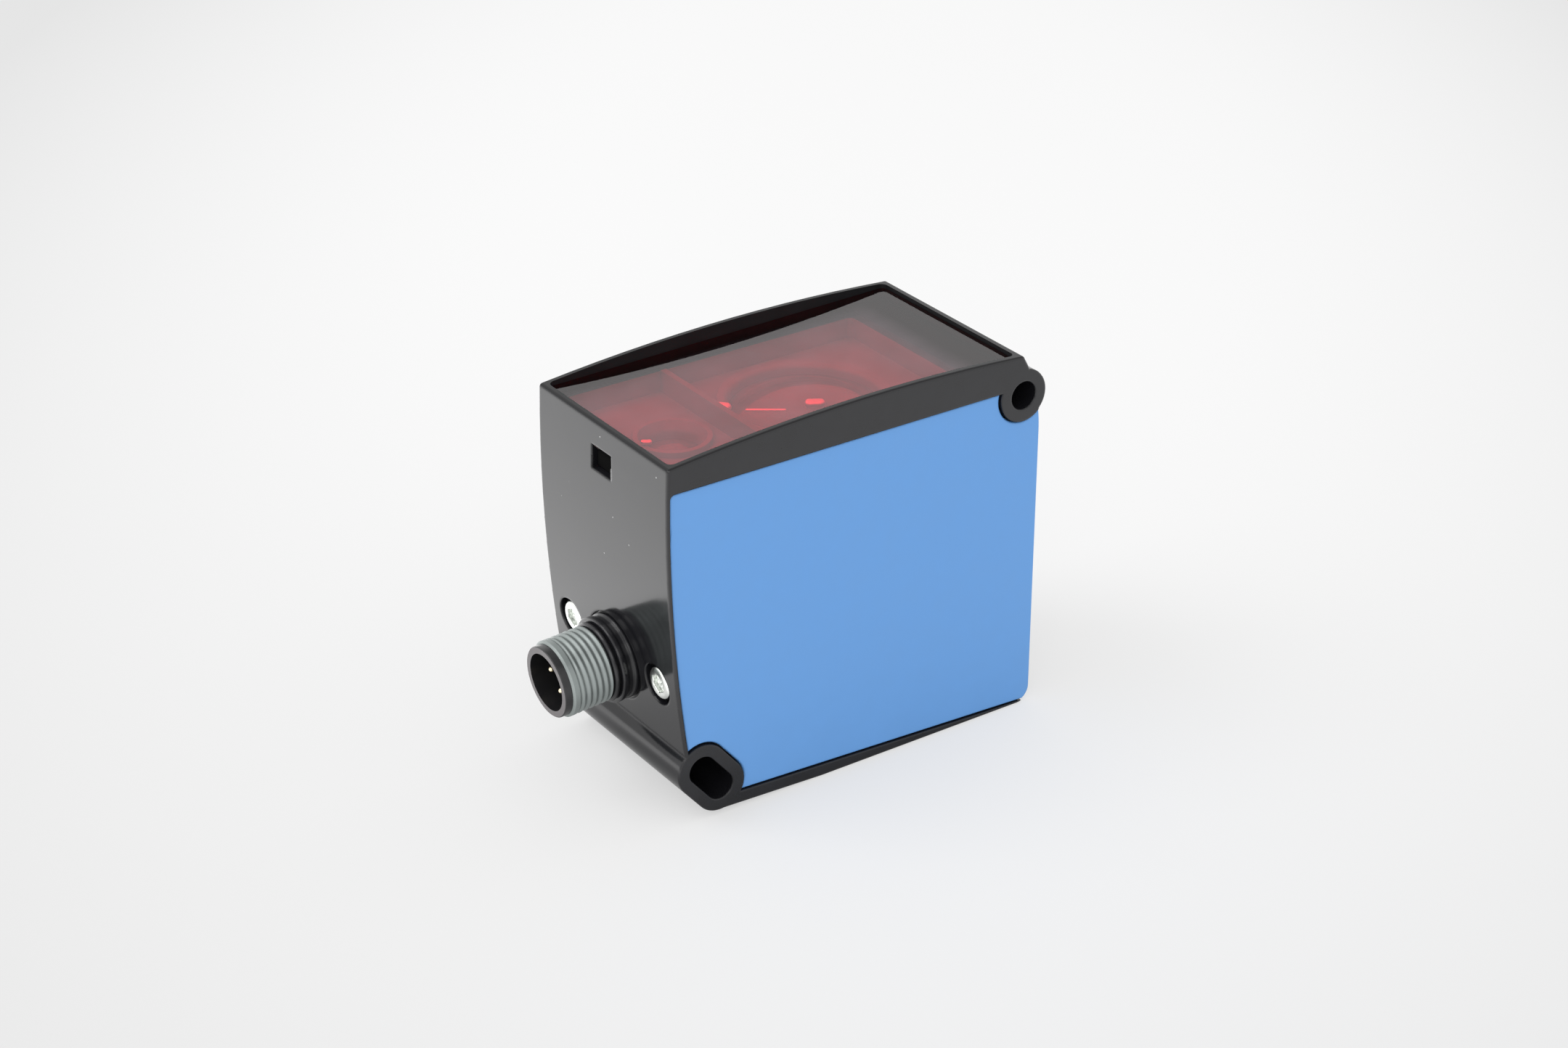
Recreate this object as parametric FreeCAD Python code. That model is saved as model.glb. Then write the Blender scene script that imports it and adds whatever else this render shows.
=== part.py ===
import FreeCAD, Part
import math
import os

# Optical distance sensor in a moulded housing, millimetres.
# X runs from the connector end (-X) to the plain end (+X), Y across the thickness with the
# covered side at -Y, Z from the base at z = 0 up to the window. X = 0 and Y = 0 are mid-window.

# Housing outline, seen from the covered side
BODY_WIDTH = 35.0
FACE_X = -31.75
END_X = 35.0
WINDOW_Z = 58.6
FACE_BULGE_R = 255.0
BULGE_DROP = 11.6
RIM_LEFT_RISE = 0.5
RIM_PEAK_RISE = 2.6
RIM_RIGHT_RISE = 1.6
RIM_PEAK_INSET = 33.0
RIM_END_INSET = 3.7
BASE_CORNER_R = 2.5
BASE_FLAT_START = 26.75
RIM_CORNER_R = 0.6
EDGE_R = 0.4

# Mounting lugs: a round hole at the top right and a slot at the lower left
LUG_R = 4.2
MOUNT_R = 2.25
MOUNT_CHAMFER = 0.12
LUG_EDGE_R = 0.25
LUG_SEAT = 1.0
TOP_LUG_INSET = 3.52
TOP_LUG_DROP = 4.85
SLOT_INSET = 6.85
SLOT_Z = 6.75
SLOT_TRAVEL = 4.7
SLOT_ANGLE = -50.4

# Panel field, side cover and its gasket
PANEL_INSET = 0.65
PANEL_DROP = 3.65
PANEL_BASE_LEFT = 3.24
PANEL_BASE_RIGHT = 0.51
PANEL_BASE_SPAN = 30.0
PANEL_CORNER_R = 0.8
PANEL_GAP = 0.15
LUG_GAP = 0.25
COVER_SINK = 0.3
COVER_T = 1.6
COVER_EDGE_R = 0.35
COVER_RIM_T = 0.9
COVER_RIM_DEPTH = 1.0
COVER_RIM_GAP = 0.15
GASKET_T = 0.3
SEAT_W = 1.5
WALL_T = 2.0
END_WALL_T = 2.2

# Window
PANE_T = 1.5
PANE_GAP = 0.1
PANE_CORNER_R = 1.0
SEAL_T = 0.3
RIM_WALL_T = 1.0
LEDGE_W = 1.4
DECK_REACH = 54.95

# Latch window in the connector face
LATCH_W = 5.2
LATCH_H = 3.7
LATCH_DROP = 5.2
LATCH_BEVEL = 0.2
LATCH_GAP = 0.25
LATCH_SINK = 1.0
LATCH_ARM_T = 1.1
LATCH_ARM_LENGTH = 9.0

# Connector, measured along its own axis from the face outwards
CONNECTOR_Z = 21.2
CONNECTOR_TILT = 4.0
PAD_DEPTH = 4.6
PAD_HALF_HEIGHT = 7.2
SPOT_R = 7.0
SPOT_DEPTH = 0.4
NECK_R = 5.6
NECK_GAP = 0.1
FLANGE_T = 2.5
FLANGE_INSET = 3.1
FLANGE_HALF_H = 6.2
SEAL_RING_R = 6.7
SEAL_RING_END = 2.5
SEAL_GROOVE = 0.25
SLEEVE_START = 3.6
SLEEVE_END = 10.54
SLEEVE_R = 5.95
SLEEVE_CHAMFER = 0.3
INSERT_R = 4.8
INSERT_GAP = 0.05
INSERT_TAIL = 6.5
COLLAR_END = 11.75
COLLAR_R = 5.55
CAVITY_R = 4.5
CAVITY_FLOOR = 3.7
COLLAR_CHAMFER = 0.15
ORING_R = 0.45
ORING_MID = 3.05
ORING_GROOVE = 0.3
ORING_GAP = 0.05
PIN_R = 0.5
PIN_CIRCLE_R = 2.5
PIN_COUNT = 4
PIN_TURN = 87.0
PIN_TIP = 9.8
PIN_TAIL = 9.4
PIN_GAP = 0.03

# Flange screws
SCREW_INSET = 5.5
SCREW_RAISE = 0.8
SCREW_HEAD_R = 2.65
SCREW_HEAD_H = 1.9
SCREW_CROWN = 0.6
SCREW_RECESS = 0.5
SCREW_SHANK_R = 1.5
SCREW_HOLE_GAP = 0.1
SCREW_BORE_GAP = 0.6
SCREW_SOCKET_R = 1.15
SCREW_SOCKET_DEPTH = 1.1

# Optics carrier and lenses
CARRIER_T = 1.5
CARRIER_GAP = 0.1
CARRIER_EDGE_GAP = 0.3
RECEIVER_INSET = 35.75
RECEIVER_LENS_INSET = 5.1
RECEIVER_LAND = 1.0
RECEIVER_DOME_H = 2.9
RECEIVER_EDGE_T = 2.0
RECEIVER_DEPTH = 19.8
RECEIVER_THROAT_R = 4.7
BARREL_WALL = 1.4
LENS_GAP = 0.1
LENS_SHELF = 0.9
LENS_SINK = 2.9
RING_LIP_T = 0.9
EMITTER_INSET = 12.25
EMITTER_LENS_R = 5.0
EMITTER_DOME_R = 4.1
EMITTER_DOME_H = 1.1
EMITTER_EDGE_T = 1.2
EMITTER_DEPTH = 17.4
BAFFLE_T = 1.0
BAFFLE_GAP = 0.1
DIODE_FLANGE_R = 2.8
DIODE_FLANGE_T = 1.2
DIODE_CAN_R = 1.78
DIODE_CAN_H = 2.3
DETECTOR_R = 4.1
DETECTOR_H = 2.8

# Boards, their screws and flexible links
BOARD_T = 1.6
STANDOFF = 3.0
STANDOFF_R = 2.4
BOARD_LEFT_INSET = 11.75
BOARD_RIGHT_INSET = 3.5
BOARD_BOTTOM = 4.2
BOARD_TOP = 28.8
BOARD_STEP_Z = 15.0
BOARD_STEP_W = 4.0
BOARD_HOLE_INSET = 3.4
SMALL_SCREW_R = 1.0
SMALL_HEAD_R = 1.9
SMALL_HEAD_H = 1.3
SMALL_SCREW_L = 4.2
SMALL_GAP = 0.05
RECEIVER_BOARD_W = 20.0
EMITTER_BOARD_W = 14.0
FOOT_T = 2.0
BOARD_EDGE_HOLE = 1.9
FLEX_T = 0.3
FLEX_W = 5.0
FLEX_DROP = 3.0
HEADER_L = 5.4
HEADER_H = 6.0
HEADER_T = 2.2
LINK_BOARD_INSET = 5.0
LINK_BOARD_HALF_H = 6.0
CHIP_W = 10.0
CHIP_T = 1.2
SHIELD_L = 12.0
SHIELD_H = 11.0
SHIELD_T = 2.6
SHIELD_WALL = 0.3

# Places worked out from the sizes above
HALF_WIDTH = BODY_WIDTH / 2
BULGE_Z = WINDOW_Z - BULGE_DROP
PANEL_TOP = WINDOW_Z - PANEL_DROP
COVER_OUT_Y = -(HALF_WIDTH - COVER_SINK)
COVER_IN_Y = COVER_OUT_Y + COVER_T
SEAT_Y = COVER_IN_Y + GASKET_T
FAR_WALL_Y = HALF_WIDTH - WALL_T
CEILING_Z = PANEL_TOP - SEAT_W
LEDGE_Z = WINDOW_Z - PANE_T - SEAL_T
BOARD_FAR_Y = FAR_WALL_Y - STANDOFF
BOARD_NEAR_Y = BOARD_FAR_Y - BOARD_T
RECEIVER_X = FACE_X + RECEIVER_INSET
EMITTER_X = FACE_X + EMITTER_INSET
LENS_SEAT_Z = CEILING_Z - LENS_SINK
RECEIVER_FOOT_Z = CEILING_Z - RECEIVER_DEPTH
EMITTER_FOOT_Z = CEILING_Z - EMITTER_DEPTH
RECEIVER_LENS_R = HALF_WIDTH - RECEIVER_LENS_INSET
RECEIVER_DOME_R = RECEIVER_LENS_R - RECEIVER_LAND
BOARD_LEFT = FACE_X + BOARD_LEFT_INSET
BOARD_RIGHT = END_X - BOARD_RIGHT_INSET
SHOULDER_END = -(PAD_DEPTH + FLANGE_T)
LINK_BOARD_END = SHOULDER_END - BOARD_T


def vec(x, y, z):
    """Return a point or a direction."""
    return FreeCAD.Vector(x, y, z)


def box(x_span, y_span, z_span):
    """Return a block between two values on each axis."""
    low = vec(x_span[0], y_span[0], z_span[0])
    return Part.makeBox(x_span[1] - x_span[0], y_span[1] - y_span[0], z_span[1] - z_span[0], low)


def rod(radius, start, end):
    """Return a round rod between two points."""
    return Part.makeCylinder(radius, (end - start).Length, start, end - start)


def post(radius, x, y, z_low, z_high):
    """Return an upright round post."""
    return rod(radius, vec(x, y, z_low), vec(x, y, z_high))


def turned(profile, x=0.0, y=0.0):
    """Turn an outline of (radius, height) corners about an upright line."""
    corners = [vec(x + radius, y, height) for radius, height in profile]
    face = Part.Face(Part.makePolygon(corners + corners[:1]))
    return face.revolve(vec(x, y, 0), vec(0, 0, 1), 360)


def slab_from(wire, depth):
    """Thicken a flat outline along +Y."""
    return Part.Face(wire).extrude(vec(0, depth, 0))


def face_x(z, inset=0.0):
    """Return where the curved connector face lies at a height."""
    radius = FACE_BULGE_R - inset
    return FACE_X + FACE_BULGE_R - math.sqrt(radius ** 2 - (z - BULGE_Z) ** 2)


def end_radius():
    """Return the radius that bends the plain end from upright to the rim's corner."""
    rise = WINDOW_Z + RIM_RIGHT_RISE - BULGE_Z
    return (RIM_END_INSET ** 2 + rise ** 2) / (2 * RIM_END_INSET)


def slot_direction():
    """Return the slot's direction in the side view."""
    angle = math.radians(SLOT_ANGLE)
    return vec(math.cos(angle), 0, math.sin(angle))


def top_lug():
    """Return the round lug's centre, given twice as the ends of a slot of no travel."""
    centre = vec(END_X - TOP_LUG_INSET, 0, WINDOW_Z - TOP_LUG_DROP)
    return centre, centre


def low_lug():
    """Return the two centres of the slotted lug's ends."""
    middle = vec(FACE_X + SLOT_INSET, 0, SLOT_Z)
    reach = slot_direction() * (SLOT_TRAVEL / 2)
    return middle - reach, middle + reach


def round_ended_wire(ends, radius, y):
    """Return the outline round two centres at a depth y, or a circle where they agree."""
    shift = vec(0, y, 0)
    first, second = ends[0] + shift, ends[1] + shift
    if (second - first).Length < PANE_GAP:
        return Part.Wire([Part.makeCircle(radius, first, vec(0, 1, 0))])
    along = (second - first).normalize()
    side = vec(along.z, 0, -along.x) * radius
    nose, tail = along * radius, along * -radius
    edges = [
        Part.LineSegment(first + side, second + side).toShape(),
        Part.Arc(second + side, second + nose, second - side).toShape(),
        Part.LineSegment(second - side, first - side).toShape(),
        Part.Arc(first - side, first + tail, first + side).toShape(),
    ]
    return Part.Wire(edges)


def round_ended_bar(ends, radius, y_span):
    """Return a bar of that outline between two depths."""
    return slab_from(round_ended_wire(ends, radius, y_span[0]), y_span[1] - y_span[0])


def mount_cutter(ends):
    """Return the cutter for a mounting hole or slot with a fine bevel at both faces."""
    cutter = round_ended_bar(ends, MOUNT_R, (-HALF_WIDTH - 1, HALF_WIDTH + 1))
    for side in (-1, 1):
        wide = round_ended_wire(ends, MOUNT_R + MOUNT_CHAMFER, side * HALF_WIDTH)
        tight = round_ended_wire(ends, MOUNT_R, side * (HALF_WIDTH - MOUNT_CHAMFER))
        cutter = cutter.fuse(Part.makeLoft([wide, tight], True))
    return cutter


def edges_across(solid, x, z):
    """Return the edges that run along Y through a corner of the side view."""
    found = []
    for edge in solid.Edges:
        middle = edge.CenterOfMass
        along_y = edge.BoundBox.YLength > BODY_WIDTH / 2
        if along_y and abs(middle.x - x) < PANE_GAP and abs(middle.z - z) < PANE_GAP:
            found.append(edge)
    return found


def edges_at_depth(solid, y):
    """Return the edges that lie flat at a depth y."""
    return [edge for edge in solid.Edges
            if edge.BoundBox.YLength < 1e-6 and abs(edge.BoundBox.YMin - y) < 1e-6]


def outline_block():
    """Return the housing's full outline, arched rim above and bowed connector face, unrounded."""
    rim_left_z = WINDOW_Z + RIM_LEFT_RISE
    rim_left = vec(face_x(rim_left_z), 0, rim_left_z)
    rim_peak = vec(END_X - RIM_PEAK_INSET, 0, WINDOW_Z + RIM_PEAK_RISE)
    rim_right = vec(END_X - RIM_END_INSET, 0, WINDOW_Z + RIM_RIGHT_RISE)
    bend = end_radius()
    half_turn = math.asin((rim_right.z - BULGE_Z) / bend) / 2
    bend_middle = vec(END_X - bend + bend * math.cos(half_turn), 0,
                      BULGE_Z + bend * math.sin(half_turn))
    upright = vec(END_X, 0, BULGE_Z)
    base_right = vec(END_X, 0, 0)
    base_left = vec(FACE_X + BASE_FLAT_START, 0, 0)
    tube_low = low_lug()[1] + vec(0, 0, -LUG_R)
    crease_z = low_lug()[0].z
    crease = vec(face_x(crease_z), 0, crease_z)
    bulge = vec(face_x(BULGE_Z), 0, BULGE_Z)
    edges = [
        Part.Arc(rim_left, rim_peak, rim_right).toShape(),
        Part.Arc(rim_right, bend_middle, upright).toShape(),
        Part.LineSegment(upright, base_right).toShape(),
        Part.LineSegment(base_right, base_left).toShape(),
        Part.LineSegment(base_left, tube_low).toShape(),
        Part.LineSegment(tube_low, crease).toShape(),
        Part.Arc(crease, bulge, rim_left).toShape(),
    ]
    wire = Part.Wire(edges)
    wire.translate(vec(0, -HALF_WIDTH, 0))
    block = slab_from(wire, BODY_WIDTH)
    block = block.makeFillet(BASE_CORNER_R, edges_across(block, base_right.x, base_right.z))
    corners = edges_across(block, rim_left.x, rim_left.z)
    corners += edges_across(block, rim_right.x, rim_right.z)
    return block.makeFillet(RIM_CORNER_R, corners)


def lug_bar(ends):
    """Return a full-width lug with eased edges, before its hole is cut."""
    bar = round_ended_bar(ends, LUG_R, (-HALF_WIDTH, HALF_WIDTH))
    edges = edges_at_depth(bar, -HALF_WIDTH) + edges_at_depth(bar, HALF_WIDTH)
    return bar.makeFillet(LUG_EDGE_R, edges)


def both_lugs(growth, y_span):
    """Return both lugs' bars grown by an amount, as one cutter."""
    round_bar = round_ended_bar(top_lug(), LUG_R + growth, y_span)
    return round_bar.fuse(round_ended_bar(low_lug(), LUG_R + growth, y_span))


def panel_base_z(x):
    """Return the height of the panel field's slanting lower edge."""
    slope = (PANEL_BASE_RIGHT - PANEL_BASE_LEFT) / (2 * PANEL_BASE_SPAN)
    return PANEL_BASE_LEFT + slope * (x + PANEL_BASE_SPAN)


def panel_field(inset, right_x, y_span):
    """Return the side panel's field, drawn in by an inset, between two depths."""
    edge_inset = PANEL_INSET + inset
    top = PANEL_TOP - inset
    left_base_x = face_x(PANEL_BASE_LEFT, edge_inset)
    low_z = panel_base_z(left_base_x) + inset
    low_left = vec(face_x(low_z, edge_inset), 0, low_z)
    middle = vec(face_x(BULGE_Z, edge_inset), 0, BULGE_Z)
    top_left = vec(face_x(top, edge_inset), 0, top)
    top_right = vec(right_x, 0, top)
    low_right = vec(right_x, 0, panel_base_z(right_x) + inset)
    wire = Part.Wire([
        Part.Arc(low_left, middle, top_left).toShape(),
        Part.LineSegment(top_left, top_right).toShape(),
        Part.LineSegment(top_right, low_right).toShape(),
        Part.LineSegment(low_right, low_left).toShape(),
    ])
    wire.translate(vec(0, y_span[0], 0))
    field = slab_from(wire, y_span[1] - y_span[0])
    corner = [edge for edge in field.Edges
              if abs(edge.CenterOfMass.x - top_left.x) < 1e-3
              and abs(edge.CenterOfMass.z - top_left.z) < 1e-3]
    return field.makeFillet(PANEL_CORNER_R, corner)


def cover_outline(y_span):
    """Return the side cover's plate: the panel field cut by the outline and the lugs."""
    field = panel_field(0, END_X + BASE_CORNER_R, y_span)
    return field.common(outline_block()).cut(both_lugs(LUG_GAP, y_span))


def main_cavity(y_span, growth=0.0):
    """Return the space behind the side cover, inside the cover's seat and clear of the lugs."""
    space = panel_field(SEAT_W - growth, END_X - END_WALL_T + growth, y_span)
    return space.cut(both_lugs(LUG_SEAT - growth, y_span))


def rounded_plan(x_span, y_half, z_span, radius):
    """Return a block with four rounded upright corners."""
    block = box(x_span, (-y_half, y_half), z_span)
    upright = [edge for edge in block.Edges if edge.BoundBox.ZLength > PANE_GAP
               and edge.BoundBox.XLength < 1e-6 and edge.BoundBox.YLength < 1e-6]
    return block.makeFillet(radius, upright)


def window_span():
    """Return the ends of the pocket that holds the window."""
    left = face_x(WINDOW_Z) + RIM_WALL_T
    return left, END_X - RIM_END_INSET - RIM_WALL_T


def deck_span():
    """Return the ends of the opening below the window."""
    left = window_span()[0] + LEDGE_W
    return left, FACE_X + DECK_REACH


def placed_on_axis(shape):
    """Move a piece drawn upright at the origin onto the connector's axis.

    Its own Z then points out of the face, its X upwards and its Y along the sensor's Y.
    """
    tilt = math.radians(CONNECTOR_TILT)
    cos, sin = math.cos(tilt), math.sin(tilt)
    matrix = FreeCAD.Matrix(-sin, 0, -cos, face_x(CONNECTOR_Z),
                            0, 1, 0, 0,
                            cos, 0, -sin, CONNECTOR_Z,
                            0, 0, 0, 1)
    moved = shape.copy()
    moved.Placement = FreeCAD.Placement(matrix)
    return moved


def screw_places():
    """Return the flange screws' places on the connector's own plan."""
    return [(SCREW_RAISE, side * (HALF_WIDTH - SCREW_INSET)) for side in (-1, 1)]


def connector_pad(growth=0.0):
    """Return the thick pad inside the connector face that the flange bears on."""
    half = PAD_HALF_HEIGHT + growth
    return placed_on_axis(box((-half, half), (SEAT_Y, FAR_WALL_Y), (-PAD_DEPTH - growth, -1)))


def connector_cutters():
    """Return the bore, the spot face and the counterbored screw holes."""
    cutter = post(NECK_R + NECK_GAP, 0, 0, -PAD_DEPTH - 1, 2)
    cutter = cutter.fuse(post(SPOT_R, 0, 0, -SPOT_DEPTH, 2))
    for x, y in screw_places():
        depth = SCREW_HEAD_H + SCREW_RECESS
        cutter = cutter.fuse(post(SCREW_HEAD_R + SCREW_BORE_GAP, x, y, -depth, 2))
        cutter = cutter.fuse(post(SCREW_SHANK_R + SCREW_HOLE_GAP, x, y, -PAD_DEPTH - 1, 0))
    return placed_on_axis(cutter)


def rectangle_at_x(x, y_half, z_low, z_high):
    """Return a rectangle across X."""
    corners = [vec(x, -y_half, z_low), vec(x, y_half, z_low), vec(x, y_half, z_high),
               vec(x, -y_half, z_high)]
    return Part.makePolygon(corners + corners[:1])


def latch_cutter():
    """Return the square window in the connector face, bevelled at its mouth."""
    middle = WINDOW_Z - LATCH_DROP
    low, high = middle - LATCH_H / 2, middle + LATCH_H / 2
    face = face_x(middle)
    hole = box((face - 1, deck_span()[0] + 1), (-LATCH_W / 2, LATCH_W / 2), (low, high))
    mouth = rectangle_at_x(face, LATCH_W / 2 + LATCH_BEVEL, low - LATCH_BEVEL, high + LATCH_BEVEL)
    throat = rectangle_at_x(face + LATCH_BEVEL, LATCH_W / 2, low, high)
    return hole.fuse(Part.makeLoft([mouth, throat], True))


def board_hole_places():
    """Return the main board's four screw places in the side view."""
    left = BOARD_LEFT + BOARD_STEP_W + BOARD_HOLE_INSET
    right = BOARD_RIGHT - BOARD_HOLE_INSET
    low = BOARD_BOTTOM + BOARD_HOLE_INSET
    high = BOARD_TOP - BOARD_HOLE_INSET
    return [(left, low), (right, low), (right, high), (left, high)]


def standoffs():
    """Return the posts on the far wall that carry the main board."""
    posts = [rod(STANDOFF_R, vec(x, BOARD_FAR_Y, z), vec(x, FAR_WALL_Y, z))
             for x, z in board_hole_places()]
    return posts[0].fuse(posts[1:])


def housing():
    """Return the moulded housing: a deep tray open to the covered side, with its window rim."""
    block = outline_block()
    perimeter = edges_at_depth(block, -HALF_WIDTH) + edges_at_depth(block, HALF_WIDTH)
    body = block.makeFillet(EDGE_R, perimeter)
    body = body.fuse([lug_bar(top_lug()), lug_bar(low_lug())])
    near = (-HALF_WIDTH - 1, SEAT_Y)
    far = (HALF_WIDTH - COVER_SINK, HALF_WIDTH + 1)
    for y_span in (near, far):
        pocket = panel_field(-PANEL_GAP, END_X + LUG_R, y_span)
        body = body.cut(pocket.cut(both_lugs(0, y_span)))
    cavity = main_cavity((SEAT_Y, FAR_WALL_Y)).cut(connector_pad())
    body = body.cut(cavity).fuse(standoffs())
    pocket_x = window_span()
    top = WINDOW_Z + RIM_PEAK_RISE + 1
    body = body.cut(rounded_plan(pocket_x, HALF_WIDTH - RIM_WALL_T, (LEDGE_Z, top), PANE_CORNER_R))
    deck_half = HALF_WIDTH - RIM_WALL_T - LEDGE_W
    body = body.cut(rounded_plan(deck_span(), deck_half, (CEILING_Z - 1, top), PANE_CORNER_R))
    body = body.cut([latch_cutter(), connector_cutters()])
    body = body.cut([mount_cutter(top_lug()), mount_cutter(low_lug())])
    for x, z in board_hole_places():
        hole = rod(SMALL_SCREW_R + SMALL_GAP, vec(x, BOARD_FAR_Y - 1, z), vec(x, FAR_WALL_Y, z))
        body = body.cut(hole)
    return body.removeSplitter()


def side_cover():
    """Return the side cover: a plate with eased edges and a locating rim inside."""
    plate = cover_outline((COVER_OUT_Y, COVER_IN_Y))
    plate = plate.makeFillet(COVER_EDGE_R, edges_at_depth(plate, COVER_OUT_Y))
    depth = (COVER_IN_Y - 0.5, SEAT_Y + COVER_RIM_DEPTH)
    rim = main_cavity(depth, -COVER_RIM_GAP).cut(main_cavity(depth, -COVER_RIM_GAP - COVER_RIM_T))
    rim = rim.cut(connector_pad(COVER_RIM_GAP))
    return plate.fuse(rim).removeSplitter()


def cover_gasket():
    """Return the flat gasket between the side cover and its seat."""
    depth = (COVER_IN_Y, SEAT_Y)
    ring = cover_outline(depth)
    return ring.cut(main_cavity(depth))


def window_pane():
    """Return the window."""
    left, right = window_span()
    span = (left + PANE_GAP, right - PANE_GAP)
    half = HALF_WIDTH - RIM_WALL_T - PANE_GAP
    return rounded_plan(span, half, (WINDOW_Z - PANE_T, WINDOW_Z), PANE_CORNER_R - PANE_GAP)


def window_seal():
    """Return the adhesive seal under the window's edge."""
    left, right = window_span()
    z_span = (LEDGE_Z, LEDGE_Z + SEAL_T)
    half = HALF_WIDTH - RIM_WALL_T
    outer = rounded_plan((left + PANE_GAP, right - PANE_GAP), half - PANE_GAP, z_span, PANE_CORNER_R)
    deck_left, deck_right = deck_span()
    hole = rounded_plan((deck_left, deck_right), half - LEDGE_W, z_span, PANE_CORNER_R)
    return outer.cut(hole)


def connector_body():
    """Return the connector's body: a flange inside the face and a neck through it."""
    groove_low, groove_high = ORING_MID - ORING_R - ORING_GAP, ORING_MID + ORING_R + ORING_GAP
    bottom_r = NECK_R - ORING_GROOVE
    inner = INSERT_R + INSERT_GAP
    profile = [(inner, SHOULDER_END), (NECK_R, SHOULDER_END), (NECK_R, groove_low),
               (bottom_r, groove_low), (bottom_r, groove_high), (NECK_R, groove_high),
               (NECK_R, SLEEVE_START), (inner, SLEEVE_START)]
    half_w = HALF_WIDTH - FLANGE_INSET
    flange = box((-FLANGE_HALF_H, FLANGE_HALF_H), (-half_w, half_w), (SHOULDER_END, -PAD_DEPTH))
    flange = flange.cut(post(inner, 0, 0, SHOULDER_END - 1, 0))
    body = turned(profile).fuse(flange)
    for x, y in screw_places():
        body = body.cut(post(SCREW_SHANK_R + SMALL_GAP, x, y, SHOULDER_END - 1, -PAD_DEPTH + 1))
    return placed_on_axis(body)


def flange_seal():
    """Return the ribbed seal ring between the neck and the spot face."""
    inner = NECK_R + INSERT_GAP
    third = (SEAL_RING_END + SPOT_DEPTH) / 3
    profile = [(inner, -SPOT_DEPTH), (SEAL_RING_R, -SPOT_DEPTH), (SEAL_RING_R, third - SPOT_DEPTH),
               (SEAL_RING_R - SEAL_GROOVE, third - SPOT_DEPTH + SEAL_GROOVE),
               (SEAL_RING_R - SEAL_GROOVE, 2 * third - SPOT_DEPTH - SEAL_GROOVE),
               (SEAL_RING_R, 2 * third - SPOT_DEPTH), (SEAL_RING_R, SEAL_RING_END - SEAL_GROOVE),
               (SEAL_RING_R - SEAL_GROOVE, SEAL_RING_END), (inner, SEAL_RING_END)]
    return placed_on_axis(turned(profile))


def connector_o_ring():
    """Return the O-ring in the neck's groove, with an eight-sided section."""
    middle_r = NECK_R - ORING_GROOVE + ORING_R
    angles = [math.radians(22.5 + 45 * k) for k in range(8)]
    reach = ORING_R / math.cos(math.radians(22.5))
    return placed_on_axis(turned([(middle_r + reach * math.cos(a), ORING_MID + reach * math.sin(a))
                                  for a in angles]))


def threaded_sleeve():
    """Return the metal sleeve at the thread's outer size."""
    inner = INSERT_R + INSERT_GAP
    profile = [(inner, SLEEVE_START), (SLEEVE_R - SLEEVE_CHAMFER, SLEEVE_START),
               (SLEEVE_R, SLEEVE_START + SLEEVE_CHAMFER), (SLEEVE_R, SLEEVE_END - SLEEVE_CHAMFER),
               (SLEEVE_R - SLEEVE_CHAMFER, SLEEVE_END), (inner, SLEEVE_END)]
    return placed_on_axis(turned(profile))


def pin_places():
    """Return the contacts' places on the connector's own plan."""
    angles = [math.radians(PIN_TURN + 360 * k / PIN_COUNT) for k in range(PIN_COUNT)]
    return [(PIN_CIRCLE_R * math.cos(a), PIN_CIRCLE_R * math.sin(a)) for a in angles]


def contact_carrier():
    """Return the insulating insert: a solid tail and a cup whose collar covers the sleeve's end."""
    profile = [(0, -INSERT_TAIL), (INSERT_R, -INSERT_TAIL), (INSERT_R, SLEEVE_END),
               (COLLAR_R, SLEEVE_END), (COLLAR_R, COLLAR_END - COLLAR_CHAMFER),
               (COLLAR_R - COLLAR_CHAMFER, COLLAR_END), (CAVITY_R, COLLAR_END),
               (CAVITY_R, CAVITY_FLOOR), (0, CAVITY_FLOOR)]
    insert = turned(profile)
    holes = [post(PIN_R + PIN_GAP, x, y, -INSERT_TAIL - 1, CAVITY_FLOOR + 1)
             for x, y in pin_places()]
    return placed_on_axis(insert.cut(holes))


def contact_pin(place):
    """Return one contact, with an eased tip."""
    tip = PIN_R / 2
    profile = [(0, -PIN_TAIL), (PIN_R, -PIN_TAIL), (PIN_R, PIN_TIP - tip), (tip, PIN_TIP),
               (0, PIN_TIP)]
    return placed_on_axis(turned(profile, place[0], place[1]))


def flange_screws():
    """Return the two pan-head screws that hold the connector's flange."""
    screws = []
    for x, y in screw_places():
        top = -SCREW_RECESS
        head_low = top - SCREW_HEAD_H
        floor = top - SCREW_SOCKET_DEPTH
        profile = [(0, SHOULDER_END), (SCREW_SHANK_R, SHOULDER_END), (SCREW_SHANK_R, head_low),
                   (SCREW_HEAD_R, head_low), (SCREW_HEAD_R, top - SCREW_CROWN),
                   (SCREW_HEAD_R - SCREW_CROWN / 3, top - SCREW_CROWN / 3),
                   (SCREW_HEAD_R - SCREW_CROWN, top), (SCREW_SOCKET_R, top),
                   (SCREW_SOCKET_R, floor), (0, floor)]
        screws.append(placed_on_axis(turned(profile, x, y)))
    return Part.makeCompound(screws)


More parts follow.
